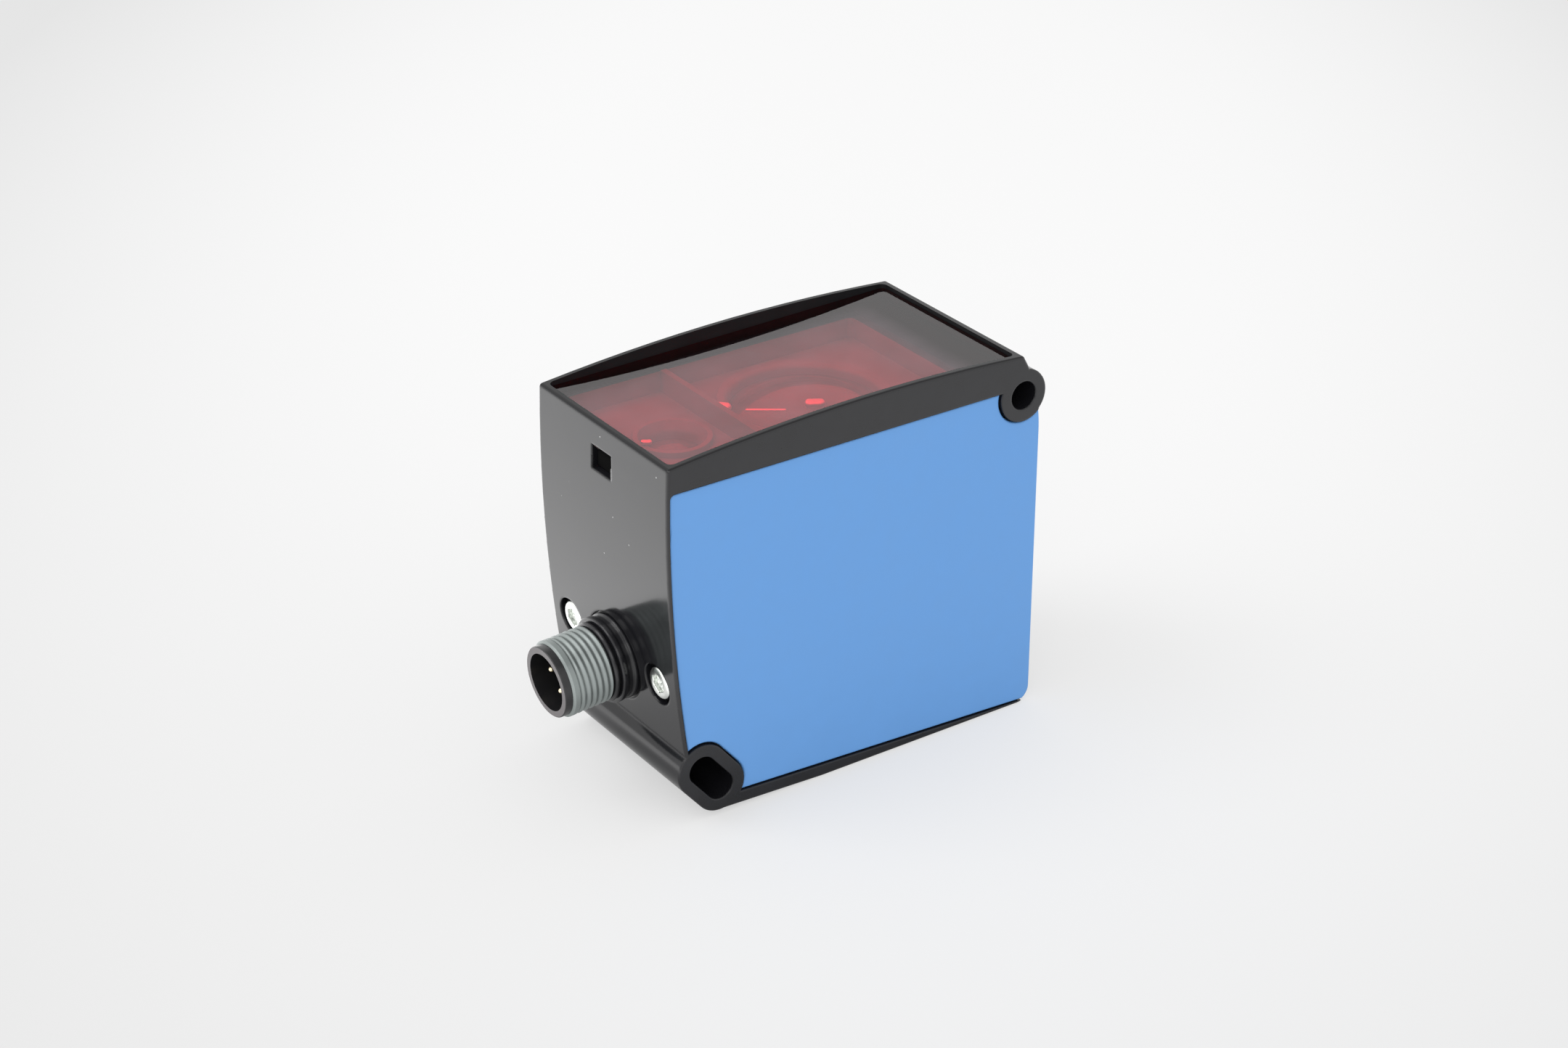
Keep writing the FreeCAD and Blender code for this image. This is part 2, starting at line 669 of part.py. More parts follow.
def lens(x, radius, edge_t, dome_r, dome_h):
    """Return a lens with a flat back, a cylindrical edge and a domed front."""
    sphere_r = (dome_r ** 2 + dome_h ** 2) / (2 * dome_h)
    shoulder = LENS_SEAT_Z + edge_t
    top = vec(x, 0, shoulder + dome_h)
    half = dome_r / 2
    between = vec(x + half, 0, top.z - sphere_r + math.sqrt(sphere_r ** 2 - half ** 2))
    edges = [
        Part.LineSegment(vec(x, 0, LENS_SEAT_Z), vec(x + radius, 0, LENS_SEAT_Z)).toShape(),
        Part.LineSegment(vec(x + radius, 0, LENS_SEAT_Z), vec(x + radius, 0, shoulder)).toShape(),
        Part.LineSegment(vec(x + radius, 0, shoulder), vec(x + dome_r, 0, shoulder)).toShape(),
        Part.Arc(vec(x + dome_r, 0, shoulder), between, top).toShape(),
        Part.LineSegment(top, vec(x, 0, LENS_SEAT_Z)).toShape(),
    ]
    return Part.Face(Part.Wire(edges)).revolve(vec(x, 0, 0), vec(0, 0, 1), 360)


def lens_ring(x, radius, edge_t, dome_r):
    """Return the retaining ring that holds a lens in its barrel."""
    low = LENS_SEAT_Z + edge_t
    lip_top = CEILING_Z + RING_LIP_T
    inner = dome_r + LENS_GAP
    profile = [(inner, low), (radius, low), (radius, CEILING_Z), (radius + LENS_SHELF, CEILING_Z),
               (radius + LENS_SHELF, lip_top - LENS_GAP), (radius + LENS_SHELF - LENS_GAP, lip_top),
               (inner + LENS_SHELF, lip_top), (inner, low + LENS_SHELF)]
    return turned(profile, x)


def barrel(x, lens_r, foot_z, throat_r):
    """Return the outside of a lens barrel and the space inside it, as two solids."""
    shelf_r = lens_r - LENS_SHELF
    outer_r = lens_r + LENS_GAP + BARREL_WALL
    wide_z = LENS_SEAT_Z - BARREL_WALL
    neck_r = throat_r + BARREL_WALL
    outside = turned([(0, foot_z), (neck_r, foot_z), (neck_r, foot_z + FOOT_T), (outer_r, wide_z),
                      (outer_r, CEILING_Z), (0, CEILING_Z)], x)
    inside = turned([(0, foot_z - 1), (throat_r, foot_z - 1), (throat_r, foot_z + FOOT_T),
                     (shelf_r, wide_z), (shelf_r, LENS_SEAT_Z), (lens_r + LENS_GAP, LENS_SEAT_Z),
                     (lens_r + LENS_GAP, CEILING_Z + 1), (0, CEILING_Z + 1)], x)
    return outside, inside


def corner_places(x, width):
    """Return two opposite screw places on a small square board."""
    reach = width / 2 - BOARD_EDGE_HOLE
    return [(x - reach, reach), (x + reach, -reach)]


def foot_plate(x, width, z):
    """Return the square foot of a barrel that a small board is screwed to."""
    half = width / 2
    plate = box((x - half, x + half), (-half, half), (z, z + FOOT_T))
    holes = [post(SMALL_SCREW_R + SMALL_GAP, px, py, z - 1, z + FOOT_T + 1)
             for px, py in corner_places(x, width)]
    return plate.cut(holes)


def optics_carrier():
    """Return the black carrier: its deck, both barrels with their feet, and the latch arm."""
    near_y = SEAT_Y + COVER_RIM_DEPTH + CARRIER_GAP
    far_y = FAR_WALL_Y - CARRIER_GAP
    arm_x = deck_span()[0] + CARRIER_EDGE_GAP
    right = END_X - END_WALL_T - CARRIER_EDGE_GAP
    deck_low = CEILING_Z - CARRIER_T
    deck = box((arm_x, right), (near_y, far_y), (deck_low, CEILING_Z))
    deck = deck.cut(both_lugs(LUG_SEAT + CARRIER_EDGE_GAP, (near_y - 1, far_y + 1)))
    arm_half = LATCH_W / 2 + LATCH_ARM_T
    arm_top = WINDOW_Z - LATCH_DROP + LATCH_H / 2
    arm = box((arm_x, arm_x + LATCH_ARM_T), (-arm_half, arm_half),
              (arm_top - LATCH_ARM_LENGTH, arm_top))
    nose_half = LATCH_W / 2 - LATCH_GAP
    nose_low = WINDOW_Z - LATCH_DROP - LATCH_H / 2 + LATCH_GAP
    nose = box((FACE_X + LATCH_SINK, arm_x), (-nose_half, nose_half),
               (nose_low, nose_low + LATCH_H - 2 * LATCH_GAP))
    slope = [edge for edge in nose.Edges
             if abs(edge.CenterOfMass.x - FACE_X - LATCH_SINK) < 1e-6
             and edge.BoundBox.ZMin > nose_low + LATCH_GAP]
    nose = nose.makeChamfer(LATCH_SINK, slope)
    body = deck.fuse([arm, nose])
    feet = ((RECEIVER_X, RECEIVER_LENS_R, RECEIVER_FOOT_Z, RECEIVER_THROAT_R, RECEIVER_BOARD_W),
            (EMITTER_X, EMITTER_LENS_R, EMITTER_FOOT_Z, DIODE_FLANGE_R + LENS_GAP, EMITTER_BOARD_W))
    spaces = []
    for x, lens_r, foot_z, throat_r, width in feet:
        outside, inside = barrel(x, lens_r, foot_z, throat_r)
        body = body.fuse([outside, foot_plate(x, width, foot_z)])
        spaces.append(inside)
    return body.cut(spaces).removeSplitter()


def laser_diode():
    """Return the laser diode's can on its flange."""
    low = EMITTER_FOOT_Z
    shoulder = low + DIODE_FLANGE_T
    profile = [(0, low), (DIODE_FLANGE_R, low), (DIODE_FLANGE_R, shoulder), (DIODE_CAN_R, shoulder),
               (DIODE_CAN_R, shoulder + DIODE_CAN_H), (0, shoulder + DIODE_CAN_H)]
    return turned(profile, EMITTER_X)


def photodiode():
    """Return the receiver's detector can, with its rim at the foot."""
    low = RECEIVER_FOOT_Z
    profile = [(0, low), (DETECTOR_R, low), (DETECTOR_R, low + 0.5), (DETECTOR_R - 0.4, low + 0.5),
               (DETECTOR_R - 0.4, low + DETECTOR_H), (0, low + DETECTOR_H)]
    return turned(profile, RECEIVER_X)


def light_baffle():
    """Return the wall that keeps the emitter's light from the receiver, under the window."""
    receiver_edge = RECEIVER_X - RECEIVER_LENS_R - LENS_SHELF
    emitter_edge = EMITTER_X + EMITTER_LENS_R + LENS_SHELF
    middle = (receiver_edge + emitter_edge) / 2
    half = HALF_WIDTH - RIM_WALL_T - LEDGE_W - BAFFLE_GAP
    near_y = SEAT_Y + COVER_RIM_DEPTH + CARRIER_GAP
    span = (middle - BAFFLE_T / 2, middle + BAFFLE_T / 2)
    return box(span, (max(-half, near_y), half), (CEILING_Z, WINDOW_Z - PANE_T - BAFFLE_GAP))


def small_board(x, width, foot_z):
    """Return a small square board under a barrel's foot."""
    half = width / 2
    top = foot_z
    board = box((x - half, x + half), (-half, half), (top - BOARD_T, top))
    holes = [post(SMALL_SCREW_R + SMALL_GAP, px, py, top - BOARD_T - 1, top + 1)
             for px, py in corner_places(x, width)]
    return board.cut(holes)


def small_screw(head_face, direction):
    """Return a small screw whose head bears on a face and whose shank points along a direction."""
    head = rod(SMALL_HEAD_R, head_face - direction * SMALL_HEAD_H, head_face)
    shank = rod(SMALL_SCREW_R, head_face, head_face + direction * (SMALL_SCREW_L - SMALL_HEAD_H))
    return head.fuse(shank)


def small_board_screws(x, width, foot_z):
    """Return the two screws of a small board."""
    up = vec(0, 0, 1)
    return Part.makeCompound([small_screw(vec(px, py, foot_z - BOARD_T), up)
                              for px, py in corner_places(x, width)])


def main_board():
    """Return the main board, stepped to clear the slotted lug."""
    y_span = (BOARD_NEAR_Y, BOARD_FAR_Y)
    upper = box((BOARD_LEFT, BOARD_RIGHT), y_span, (BOARD_STEP_Z, BOARD_TOP))
    lower = box((BOARD_LEFT + BOARD_STEP_W, BOARD_RIGHT), y_span, (BOARD_BOTTOM, BOARD_STEP_Z))
    board = upper.fuse(lower)
    for x, z in board_hole_places():
        board = board.cut(rod(SMALL_SCREW_R + SMALL_GAP, vec(x, y_span[0] - 1, z),
                              vec(x, y_span[1] + 1, z)))
    return board.removeSplitter()


def board_screws():
    """Return the four screws of the main board."""
    away = vec(0, 1, 0)
    return Part.makeCompound([small_screw(vec(x, BOARD_NEAR_Y, z), away)
                              for x, z in board_hole_places()])


def flex_link(x, foot_z, width):
    """Return a flexible link from a small board down onto the main board's face."""
    low = foot_z - BOARD_T
    half = FLEX_W / 2
    flat = box((x - half, x + half), (width / 4, BOARD_NEAR_Y), (low - FLEX_T, low))
    hang = box((x - half, x + half), (BOARD_NEAR_Y - FLEX_T, BOARD_NEAR_Y),
               (BOARD_TOP - FLEX_DROP, low))
    link = flat.fuse(hang).removeSplitter()
    return link


def connector_board():
    """Return the board on the back of the connector's flange."""
    half_h, half_w = LINK_BOARD_HALF_H, HALF_WIDTH - LINK_BOARD_INSET
    board = box((-half_h, half_h), (-half_w, half_w), (LINK_BOARD_END, SHOULDER_END))
    holes = [post(PIN_R + PIN_GAP, x, y, LINK_BOARD_END - 1, SHOULDER_END + 1)
             for x, y in pin_places()]
    return placed_on_axis(board.cut(holes))


def board_header():
    """Return the header that joins the connector's board to the main board."""
    half = HEADER_H / 2
    block = box((-half, half), (BOARD_NEAR_Y - HEADER_T, BOARD_NEAR_Y),
                (LINK_BOARD_END - HEADER_L, LINK_BOARD_END))
    return placed_on_axis(block)


def processor_chip():
    """Return the processor on the main board."""
    middle_x = (BOARD_LEFT + BOARD_RIGHT) / 2
    low = BOARD_BOTTOM + BOARD_HOLE_INSET
    return box((middle_x - CHIP_W / 2, middle_x + CHIP_W / 2),
               (BOARD_NEAR_Y - CHIP_T, BOARD_NEAR_Y), (low, low + CHIP_W))


def shield_can():
    """Return the folded metal can over the supply's parts on the main board."""
    right = BOARD_RIGHT - 2 * BOARD_HOLE_INSET
    low = BOARD_BOTTOM + BOARD_HOLE_INSET
    outer = box((right - SHIELD_L, right), (BOARD_NEAR_Y - SHIELD_T, BOARD_NEAR_Y),
                (low, low + SHIELD_H))
    inner = box((right - SHIELD_L + SHIELD_WALL, right - SHIELD_WALL),
                (BOARD_NEAR_Y - SHIELD_T + SHIELD_WALL, BOARD_NEAR_Y),
                (low + SHIELD_WALL, low + SHIELD_H - SHIELD_WALL))
    return outer.cut(inner)


def all_pieces():
    """Return every piece under its name."""
    pieces = {
        "housing": housing(),
        "side_cover": side_cover(),
        "cover_gasket": cover_gasket(),
        "window_pane": window_pane(),
        "window_seal": window_seal(),
        "connector_body": connector_body(),
        "flange_seal": flange_seal(),
        "connector_o_ring": connector_o_ring(),
        "threaded_sleeve": threaded_sleeve(),
        "contact_carrier": contact_carrier(),
        "flange_screws": flange_screws(),
        "optics_carrier": optics_carrier(),
        "receiver_lens": lens(RECEIVER_X, RECEIVER_LENS_R, RECEIVER_EDGE_T, RECEIVER_DOME_R,
                              RECEIVER_DOME_H),
        "receiver_lens_ring": lens_ring(RECEIVER_X, RECEIVER_LENS_R, RECEIVER_EDGE_T,
                                        RECEIVER_DOME_R),
        "emitter_lens": lens(EMITTER_X, EMITTER_LENS_R, EMITTER_EDGE_T, EMITTER_DOME_R,
                             EMITTER_DOME_H),
        "emitter_lens_ring": lens_ring(EMITTER_X, EMITTER_LENS_R, EMITTER_EDGE_T, EMITTER_DOME_R),
        "laser_diode": laser_diode(),
        "photodiode": photodiode(),
        "light_baffle": light_baffle(),
        "receiver_board": small_board(RECEIVER_X, RECEIVER_BOARD_W, RECEIVER_FOOT_Z),
        "receiver_screws": small_board_screws(RECEIVER_X, RECEIVER_BOARD_W, RECEIVER_FOOT_Z),
        "receiver_flex": flex_link(RECEIVER_X, RECEIVER_FOOT_Z, RECEIVER_BOARD_W),
        "emitter_board": small_board(EMITTER_X, EMITTER_BOARD_W, EMITTER_FOOT_Z),
        "emitter_screws": small_board_screws(EMITTER_X, EMITTER_BOARD_W, EMITTER_FOOT_Z),
        "emitter_flex": flex_link(EMITTER_X + FLEX_W / 2, EMITTER_FOOT_Z, EMITTER_BOARD_W),
        "main_board": main_board(),
        "board_screws": board_screws(),
        "connector_board": connector_board(),
        "board_header": board_header(),
        "processor_chip": processor_chip(),
        "shield_can": shield_can(),
    }
    for number, place in enumerate(pin_places(), start=1):
        pieces[f"contact_pin_{number}"] = contact_pin(place)
    return pieces


os.makedirs("parts", exist_ok=True)
for name, shape in all_pieces().items():
    shape.exportStep(f"parts/{name}.step")
    print(name, len(shape.Solids), shape.isValid(), round(shape.Volume, 2))
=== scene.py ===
"""Visual model of an optical distance sensor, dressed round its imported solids.

Lengths are metres unless a name ends in _mm or a class gives millimetres. X runs away from the
connector, Y away from the covered side and Z up to the window.
"""
import logging
import math
from abc import ABC, abstractmethod
from dataclasses import dataclass
from enum import Enum
from typing import Callable

import bmesh
import bpy
import numpy as np
from mathutils import Matrix


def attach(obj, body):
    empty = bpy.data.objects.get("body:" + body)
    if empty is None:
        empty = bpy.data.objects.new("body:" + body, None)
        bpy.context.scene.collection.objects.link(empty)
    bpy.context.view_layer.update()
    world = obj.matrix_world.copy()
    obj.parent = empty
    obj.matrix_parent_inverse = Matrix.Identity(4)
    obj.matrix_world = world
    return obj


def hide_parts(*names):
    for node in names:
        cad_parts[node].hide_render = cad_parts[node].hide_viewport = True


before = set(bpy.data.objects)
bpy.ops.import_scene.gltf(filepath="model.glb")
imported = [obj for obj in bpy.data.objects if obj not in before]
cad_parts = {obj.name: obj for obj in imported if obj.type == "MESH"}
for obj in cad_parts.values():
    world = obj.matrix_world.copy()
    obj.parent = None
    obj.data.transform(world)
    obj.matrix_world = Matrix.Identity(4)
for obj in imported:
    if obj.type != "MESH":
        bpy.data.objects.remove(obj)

LOG = logging.getLogger("sensor")
BODY = "root"
MM = 0.001
TURN = 2 * math.pi
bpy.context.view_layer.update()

MERGE_DISTANCE = 1e-6
LEAST_LENGTH = 1e-30
LEAST_AREA = 1e-18
# Two triangles are in one flat region if these steps round their planes alike.
NORMAL_STEPS = 500
OFFSET_STEP = 20e-6
SHARP_TURN = 50.0
REGION_POWER = 2.0

SOCKET_LOBES = 6
EDGE_SAMPLES = 6
CLOUD_SPAN = (0.3, 0.7)
CLOUD_GRAINS = 12
DOT_FADE = (0.025, 0.04)
DOT_CHOICE = (0.78, 0.8)
DOT_COLOUR = (0.5, 0.5, 0.5, 1)

Pair = tuple[float, float]
Triple = tuple[float, float, float]
Piece = bpy.types.Object
Socket = bpy.types.NodeSocket
Source = float | tuple | Socket


class Smoothing(Enum):
    """How a piece's faces meet: the angle above which an edge stays sharp."""

    ALL = math.radians(180)
    MOULDED = math.radians(32)


class Mixing(Enum):
    """What a Mix node mixes: its type, its two inputs' numbers and its output's number."""

    NUMBERS = ("FLOAT", 2, 3, 0)
    COLOURS = ("RGBA", 6, 7, 2)


def unit(vectors: np.ndarray) -> np.ndarray:
    """Divide vectors by their lengths.

    Args:
        vectors: One vector, or one in each row.

    Returns:
        The vectors at length one.
    """
    return vectors / np.maximum(np.linalg.norm(vectors, axis=-1, keepdims=True), LEAST_LENGTH)


def read(items: bpy.types.bpy_prop_collection, field: str, kind: type = float,
         width: int = 3) -> np.ndarray:
    """Read one field of every point, corner or face of a mesh.

    Args:
        items: The points, corners or faces.
        field: The field's name.
        kind: The type of its numbers.
        width: How many numbers it has.

    Returns:
        One row for each item.
    """
    values = np.zeros(len(items) * width, kind)
    items.foreach_get(field, values)
    return values.reshape(-1, width)


def profile_arc(centre: Pair, radius: float, start: float, end: float,
                steps: int = 5) -> np.ndarray:
    """Give the points of an arc in a profile.

    The points are the centre plus the radius times (cosine, sine) of evenly spaced angles.

    Args:
        centre: The arc's centre, as radius and height.
        radius: The arc's radius.
        start: Its first angle in degrees.
        end: Its last angle in degrees.
        steps: How many points it has.

    Returns:
        The points, one row each.
    """
    angles = np.radians(np.linspace(start, end, steps))
    return np.column_stack([centre[0] + radius * np.cos(angles),
                            centre[1] + radius * np.sin(angles)])


def ring_points(radius: np.ndarray, heights: np.ndarray, angles: np.ndarray) -> np.ndarray:
    """Give the points of rings round the upright line.

    Point (i, j) is (r_ij cos t_j, r_ij sin t_j, h_i).

    Args:
        radius: The radius r of each point, one row for each ring.
        heights: Each ring's height h.
        angles: Each column's angle t.

    Returns:
        The points, one row each.
    """
    level = np.broadcast_to(heights[:, None], radius.shape)
    points = np.stack([radius * np.cos(angles), radius * np.sin(angles), level], -1)
    return points.reshape(-1, 3)


def grid_faces(rows: int, columns: int, wrap_rows: bool) -> np.ndarray:
    """Number the quads of a grid of points whose last column joins the first.

    Quad (i, j) joins the points (i, j), (i, j+1), (i+1, j+1) and (i+1, j), each taken modulo
    the grid's size.

    Args:
        rows: How many rings of points there are.
        columns: How many points each ring has.
        wrap_rows: Whether the last ring joins the first.

    Returns:
        Four point numbers for each quad.
    """
    ring = np.arange(rows if wrap_rows else rows - 1)[:, None] * columns
    above = (ring + columns) % (rows * columns)
    first = np.arange(columns)[None, :]
    after = (first + 1) % columns
    return np.stack([ring + first, ring + after, above + after, above + first],
                    -1).reshape(-1, 4)


def add_piece(name: str, mesh: bpy.types.Mesh) -> Piece:
    """Put a mesh into the scene.

    Args:
        name: The piece's name.
        mesh: Its mesh, in the frame.

    Returns:
        The piece, riding on the part's one body.
    """
    piece = bpy.data.objects.new(name, mesh)
    bpy.context.scene.collection.objects.link(piece)
    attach(piece, BODY)
    return piece


def closed_piece(name: str, points: np.ndarray, faces: list[np.ndarray],
                 smoothing: Smoothing) -> Piece:
    """Make a closed piece of points and faces, smooth up to an angle.

    Its faces are turned outwards if its signed volume is negative. That volume is a sixth of
    the sum, over the triangles, of the triple product of their corners.

    Args:
        name: The piece's name.
        points: Its points in metres, in the frame.
        faces: Point numbers for each face.
        smoothing: The angle above which edges stay sharp.

    Returns:
        The piece.
    """
    mesh = bpy.data.meshes.new(name)
    mesh.from_pydata(points.tolist(), [], [face.tolist() for face in faces])
    mesh.validate()
    mesh.polygons.foreach_set("use_smooth", np.ones(len(mesh.polygons), bool))
    mesh.set_sharp_from_angle(angle=smoothing.value)
    mesh.update()
    piece = add_piece(name, mesh)
    mesh.calc_loop_triangles()
    triangles = read(mesh.loop_triangles, "vertices", int)
    a, b, c = read(mesh.vertices, "co")[triangles].transpose(1, 0, 2)
    if np.einsum("ij,ij->i", a, np.cross(b, c)).sum() < 0:
        mesh.flip_normals()
    return piece


def revolve(name: str, profile: np.ndarray, place: Callable[[np.ndarray], np.ndarray],
            steps: int, lobes: np.ndarray | None = None,
            shifts: tuple[Triple, ...] = ((0.0, 0.0, 0.0),),
            smoothing: Smoothing = Smoothing.MOULDED) -> Piece:
    """Turn a profile about the upright line and put one or more copies in place.

    Point (i, j) lies at radius r_i (1 + lobe_i cos(n t_j)), height h_i and angle t_j. A profile
    that starts and ends on the axis closes in two poles, and any other closes on itself.

    Args:
        name: The piece's name.
        profile: Radius and height of each point, in millimetres.
        place: Puts an array of points in millimetres into the frame.
        steps: Points round the circle.
        lobes: The depth of each ring's lobes as a share of its radius, or None.
        shifts: How far each copy is moved before it is put in place.
        smoothing: The angle above which edges stay sharp.

    Returns:
        The piece.
    """
    angles = np.arange(steps) * TURN / steps
    depth = np.zeros(len(profile)) if lobes is None else lobes
    has_poles = profile[0, 0] == 0 and profile[-1, 0] == 0
    kept = slice(1, -1) if has_poles else slice(None)
    rings, depth = profile[kept], depth[kept]
    radius = rings[:, :1] * (1 + depth[:, None] * np.cos(SOCKET_LOBES * angles)[None, :])
    points = ring_points(radius, rings[:, 1], angles)
    faces = list(grid_faces(len(rings), steps, not has_poles))
    if has_poles:
        low, high = len(points), len(points) + 1
        points = np.vstack([points, [0, 0, profile[0, 1]], [0, 0, profile[-1, 1]]])
        first = np.arange(steps)
        after = (first + 1) % steps
        last = (len(rings) - 1) * steps
        faces += list(np.column_stack([np.full(steps, low), after, first]))
        faces += list(np.column_stack([np.full(steps, high), last + first, last + after]))
    every = np.vstack([points + shift for shift in shifts])
    copies = [face + number * len(points) for number in range(len(shifts)) for face in faces]
    return closed_piece(name, place(every), copies, smoothing)


@dataclass(frozen=True)
class ConnectorAxis:
    """The tilted line that the connector's pieces are turned about, as in the solids."""

    face_x_mm: float = -31.75
    bulge_z_mm: float = 47.0
    bulge_radius_mm: float = 255.0
    height_mm: float = 21.2
    tilt_degrees: float = 4.0

    def foot(self) -> np.ndarray:
        """Find where the axis meets the bowed face.

        Returns:
            The place in millimetres.
        """
        rise = self.height_mm - self.bulge_z_mm
        x = self.face_x_mm + self.bulge_radius_mm - math.sqrt(self.bulge_radius_mm ** 2 - rise ** 2)
        return np.array([x, 0.0, self.height_mm])

    def place(self, points: np.ndarray) -> np.ndarray:
        """Put points drawn round an upright line onto the axis.

        Their Z runs out of the face, their X up the face and their Y along the frame's Y.

        Args:
            points: Points in millimetres.

        Returns:
            The points in metres, in the frame.
        """
        tilt = math.radians(self.tilt_degrees)
        cos, sin = math.cos(tilt), math.sin(tilt)
        turn = np.array([[-sin, 0, -cos], [0, 1, 0], [cos, 0, -sin]])
        return (points @ turn.T + self.foot()) * MM


class Tree:
    """A material's or a world's node tree, with short calls to add and join nodes."""

    def __init__(self, owner: bpy.types.Material | bpy.types.World) -> None:
        """Start with the owner's first nodes.

        Args:
            owner: The new material or world.
        """
        owner.use_nodes = True
        self.owner = owner
        self.nodes = owner.node_tree.nodes
        self.links = owner.node_tree.links

    def plug(self, socket: Socket, source: Source) -> None:
        """Set a socket by value, or by a link from another socket.

        Args:
            socket: The socket.
            source: Its value or source.
        """
        if isinstance(source, Socket):
            self.links.new(source, socket)
        else:
            socket.default_value = source

    def set(self, node: bpy.types.Node, *ordered: Source, **named: Source | str) -> None:
        """Set a node's properties and sockets.

        Args:
            node: The node.
            ordered: The value or source of its first sockets.
            named: The values of its own properties, named in lower case, and the value or
                source of sockets by name, with spaces as underscores.
        """
        for name, source in named.items():
            if name.islower():
                setattr(node, name, source)
            else:
                self.plug(node.inputs[name.replace("_", " ")], source)
        for socket, source in zip(node.inputs, ordered):
            self.plug(socket, source)

    def add(self, kind: str, *ordered: Source, out: int | str = 0,
            **named: Source | str) -> Socket:
        """Add a node and set it.

        Args:
            kind: The node's type.
            ordered: As in set.
            out: The number or name of the output that is wanted.
            named: As in set.

        Returns:
            The output.
        """
        node = self.nodes.new(kind)
        self.set(node, *ordered, **named)
        return node.outputs[out]

    def mix(self, what: Mixing, factor: Source, first: Source, second: Source) -> Socket:
        """Mix two numbers or two colours.

        Args:
            what: What is mixed.
            factor: The share of the second one.
            first: The first one.
            second: The second one.

        Returns:
            The mixture.
        """
        kind, low, high, out = what.value
        node = self.nodes.new("ShaderNodeMix")
        node.data_type = kind
        for number, source in ((0, factor), (low, first), (high, second)):
            self.plug(node.inputs[number], source)
        return node.outputs[out]

    def position(self, where: str = "Object") -> Socket:
        """Give the place that is shaded.

        Args:
            where: The name of the coordinates.

        Returns:
            The coordinates.
        """
        return self.add("ShaderNodeTexCoord", out=where)

    def noise(self, scale: float, detail: float = 3.0) -> Socket:
        """Add a noise pattern over the object coordinates.

        Args:
            scale: Features for each metre.
            detail: Octaves.

        Returns:
            The pattern's factor.
        """
        return self.add("ShaderNodeTexNoise", self.position(), Scale=scale, Detail=detail)

    def ramp(self, value: Socket, low: float, high: float, to_low: float, to_high: float,
             kind: str = "LINEAR") -> Socket:
        """Map a value from one range to another, held at its ends.

        Args:
            value: The value.
            low: Start of its range.
            high: End of its range.
            to_low: Result at the start.
            to_high: Result at the end.
            kind: How the result runs between them.

        Returns:
            The result.
        """
        return self.add("ShaderNodeMapRange", value, low, high, to_low, to_high,
                        interpolation_type=kind)

    def bump(self, height: Socket, depth: float, below: Socket | None = None) -> Socket:
        """Add a bump.

        Args:
            height: The pattern.
            depth: Its depth in metres.
            below: A normal that it lies on, or None.

        Returns:
            The bumped normal.
        """
        under = {} if below is None else {"Normal": below}
        return self.add("ShaderNodeBump", Height=height, Distance=depth, Strength=1.0, **under)

    def by_ray(self, camera: Source, mirror: Source, other: Source) -> Socket:
        """Give a brightness that depends on the kind of ray that meets it.

        Args:
            camera: The brightness on camera and transmission rays.
            mirror: The brightness on glossy rays.
            other: The brightness on all other rays.

        Returns:
            The brightness.
        """
        path = self.nodes.new("ShaderNodeLightPath")
        for ray, value in (("Is Glossy Ray", mirror), ("Is Transmission Ray", camera),
                           ("Is Camera Ray", camera)):
            other = self.mix(Mixing.NUMBERS, path.outputs[ray], other, value)
        return other

    def slope(self, where: str, direction: Triple, steps: tuple[float, ...]) -> Socket:
        """Give a value that runs smoothly with the dot product of the place and a direction.

        Args:
            where: The name of the coordinates.
            direction: The direction.
            steps: The first and last dot product, and the value at each.

        Returns:
            The value.
        """
        product = self.add("ShaderNodeVectorMath", self.position(where), direction,
                           operation="DOT_PRODUCT", out="Value")
        return self.ramp(product, *steps, "SMOOTHSTEP")

    def fall(self, middle: Triple, turn: float, stretch: Triple,
             steps: tuple[float, ...]) -> Socket:
        """Give a value that runs smoothly with the distance from a place.

        Args:
            middle: The place.
            turn: How far the stretched directions are turned about the upright, in degrees.
            stretch: How far the pattern is stretched along each direction.
            steps: The first and last distance, and the value at each.

        Returns:
            The value.
        """
        scaled = self.add("ShaderNodeMapping", vector_type="TEXTURE", Vector=self.position(),
                          Location=middle, Rotation=(0, 0, math.radians(turn)), Scale=stretch)
        length = self.add("ShaderNodeVectorMath", scaled, operation="LENGTH", out="Value")
        return self.ramp(length, *steps, "SMOOTHSTEP")


def shaded(colour: Triple, factor: float) -> tuple[float, ...]:
    """Darken or lighten a colour.

    Args:
        colour: The colour.
        factor: What each channel is multiplied by.

    Returns:
        The colour, with full cover as its fourth channel.
    """
    return (*(min(1.0, channel * factor) for channel in colour), 1)


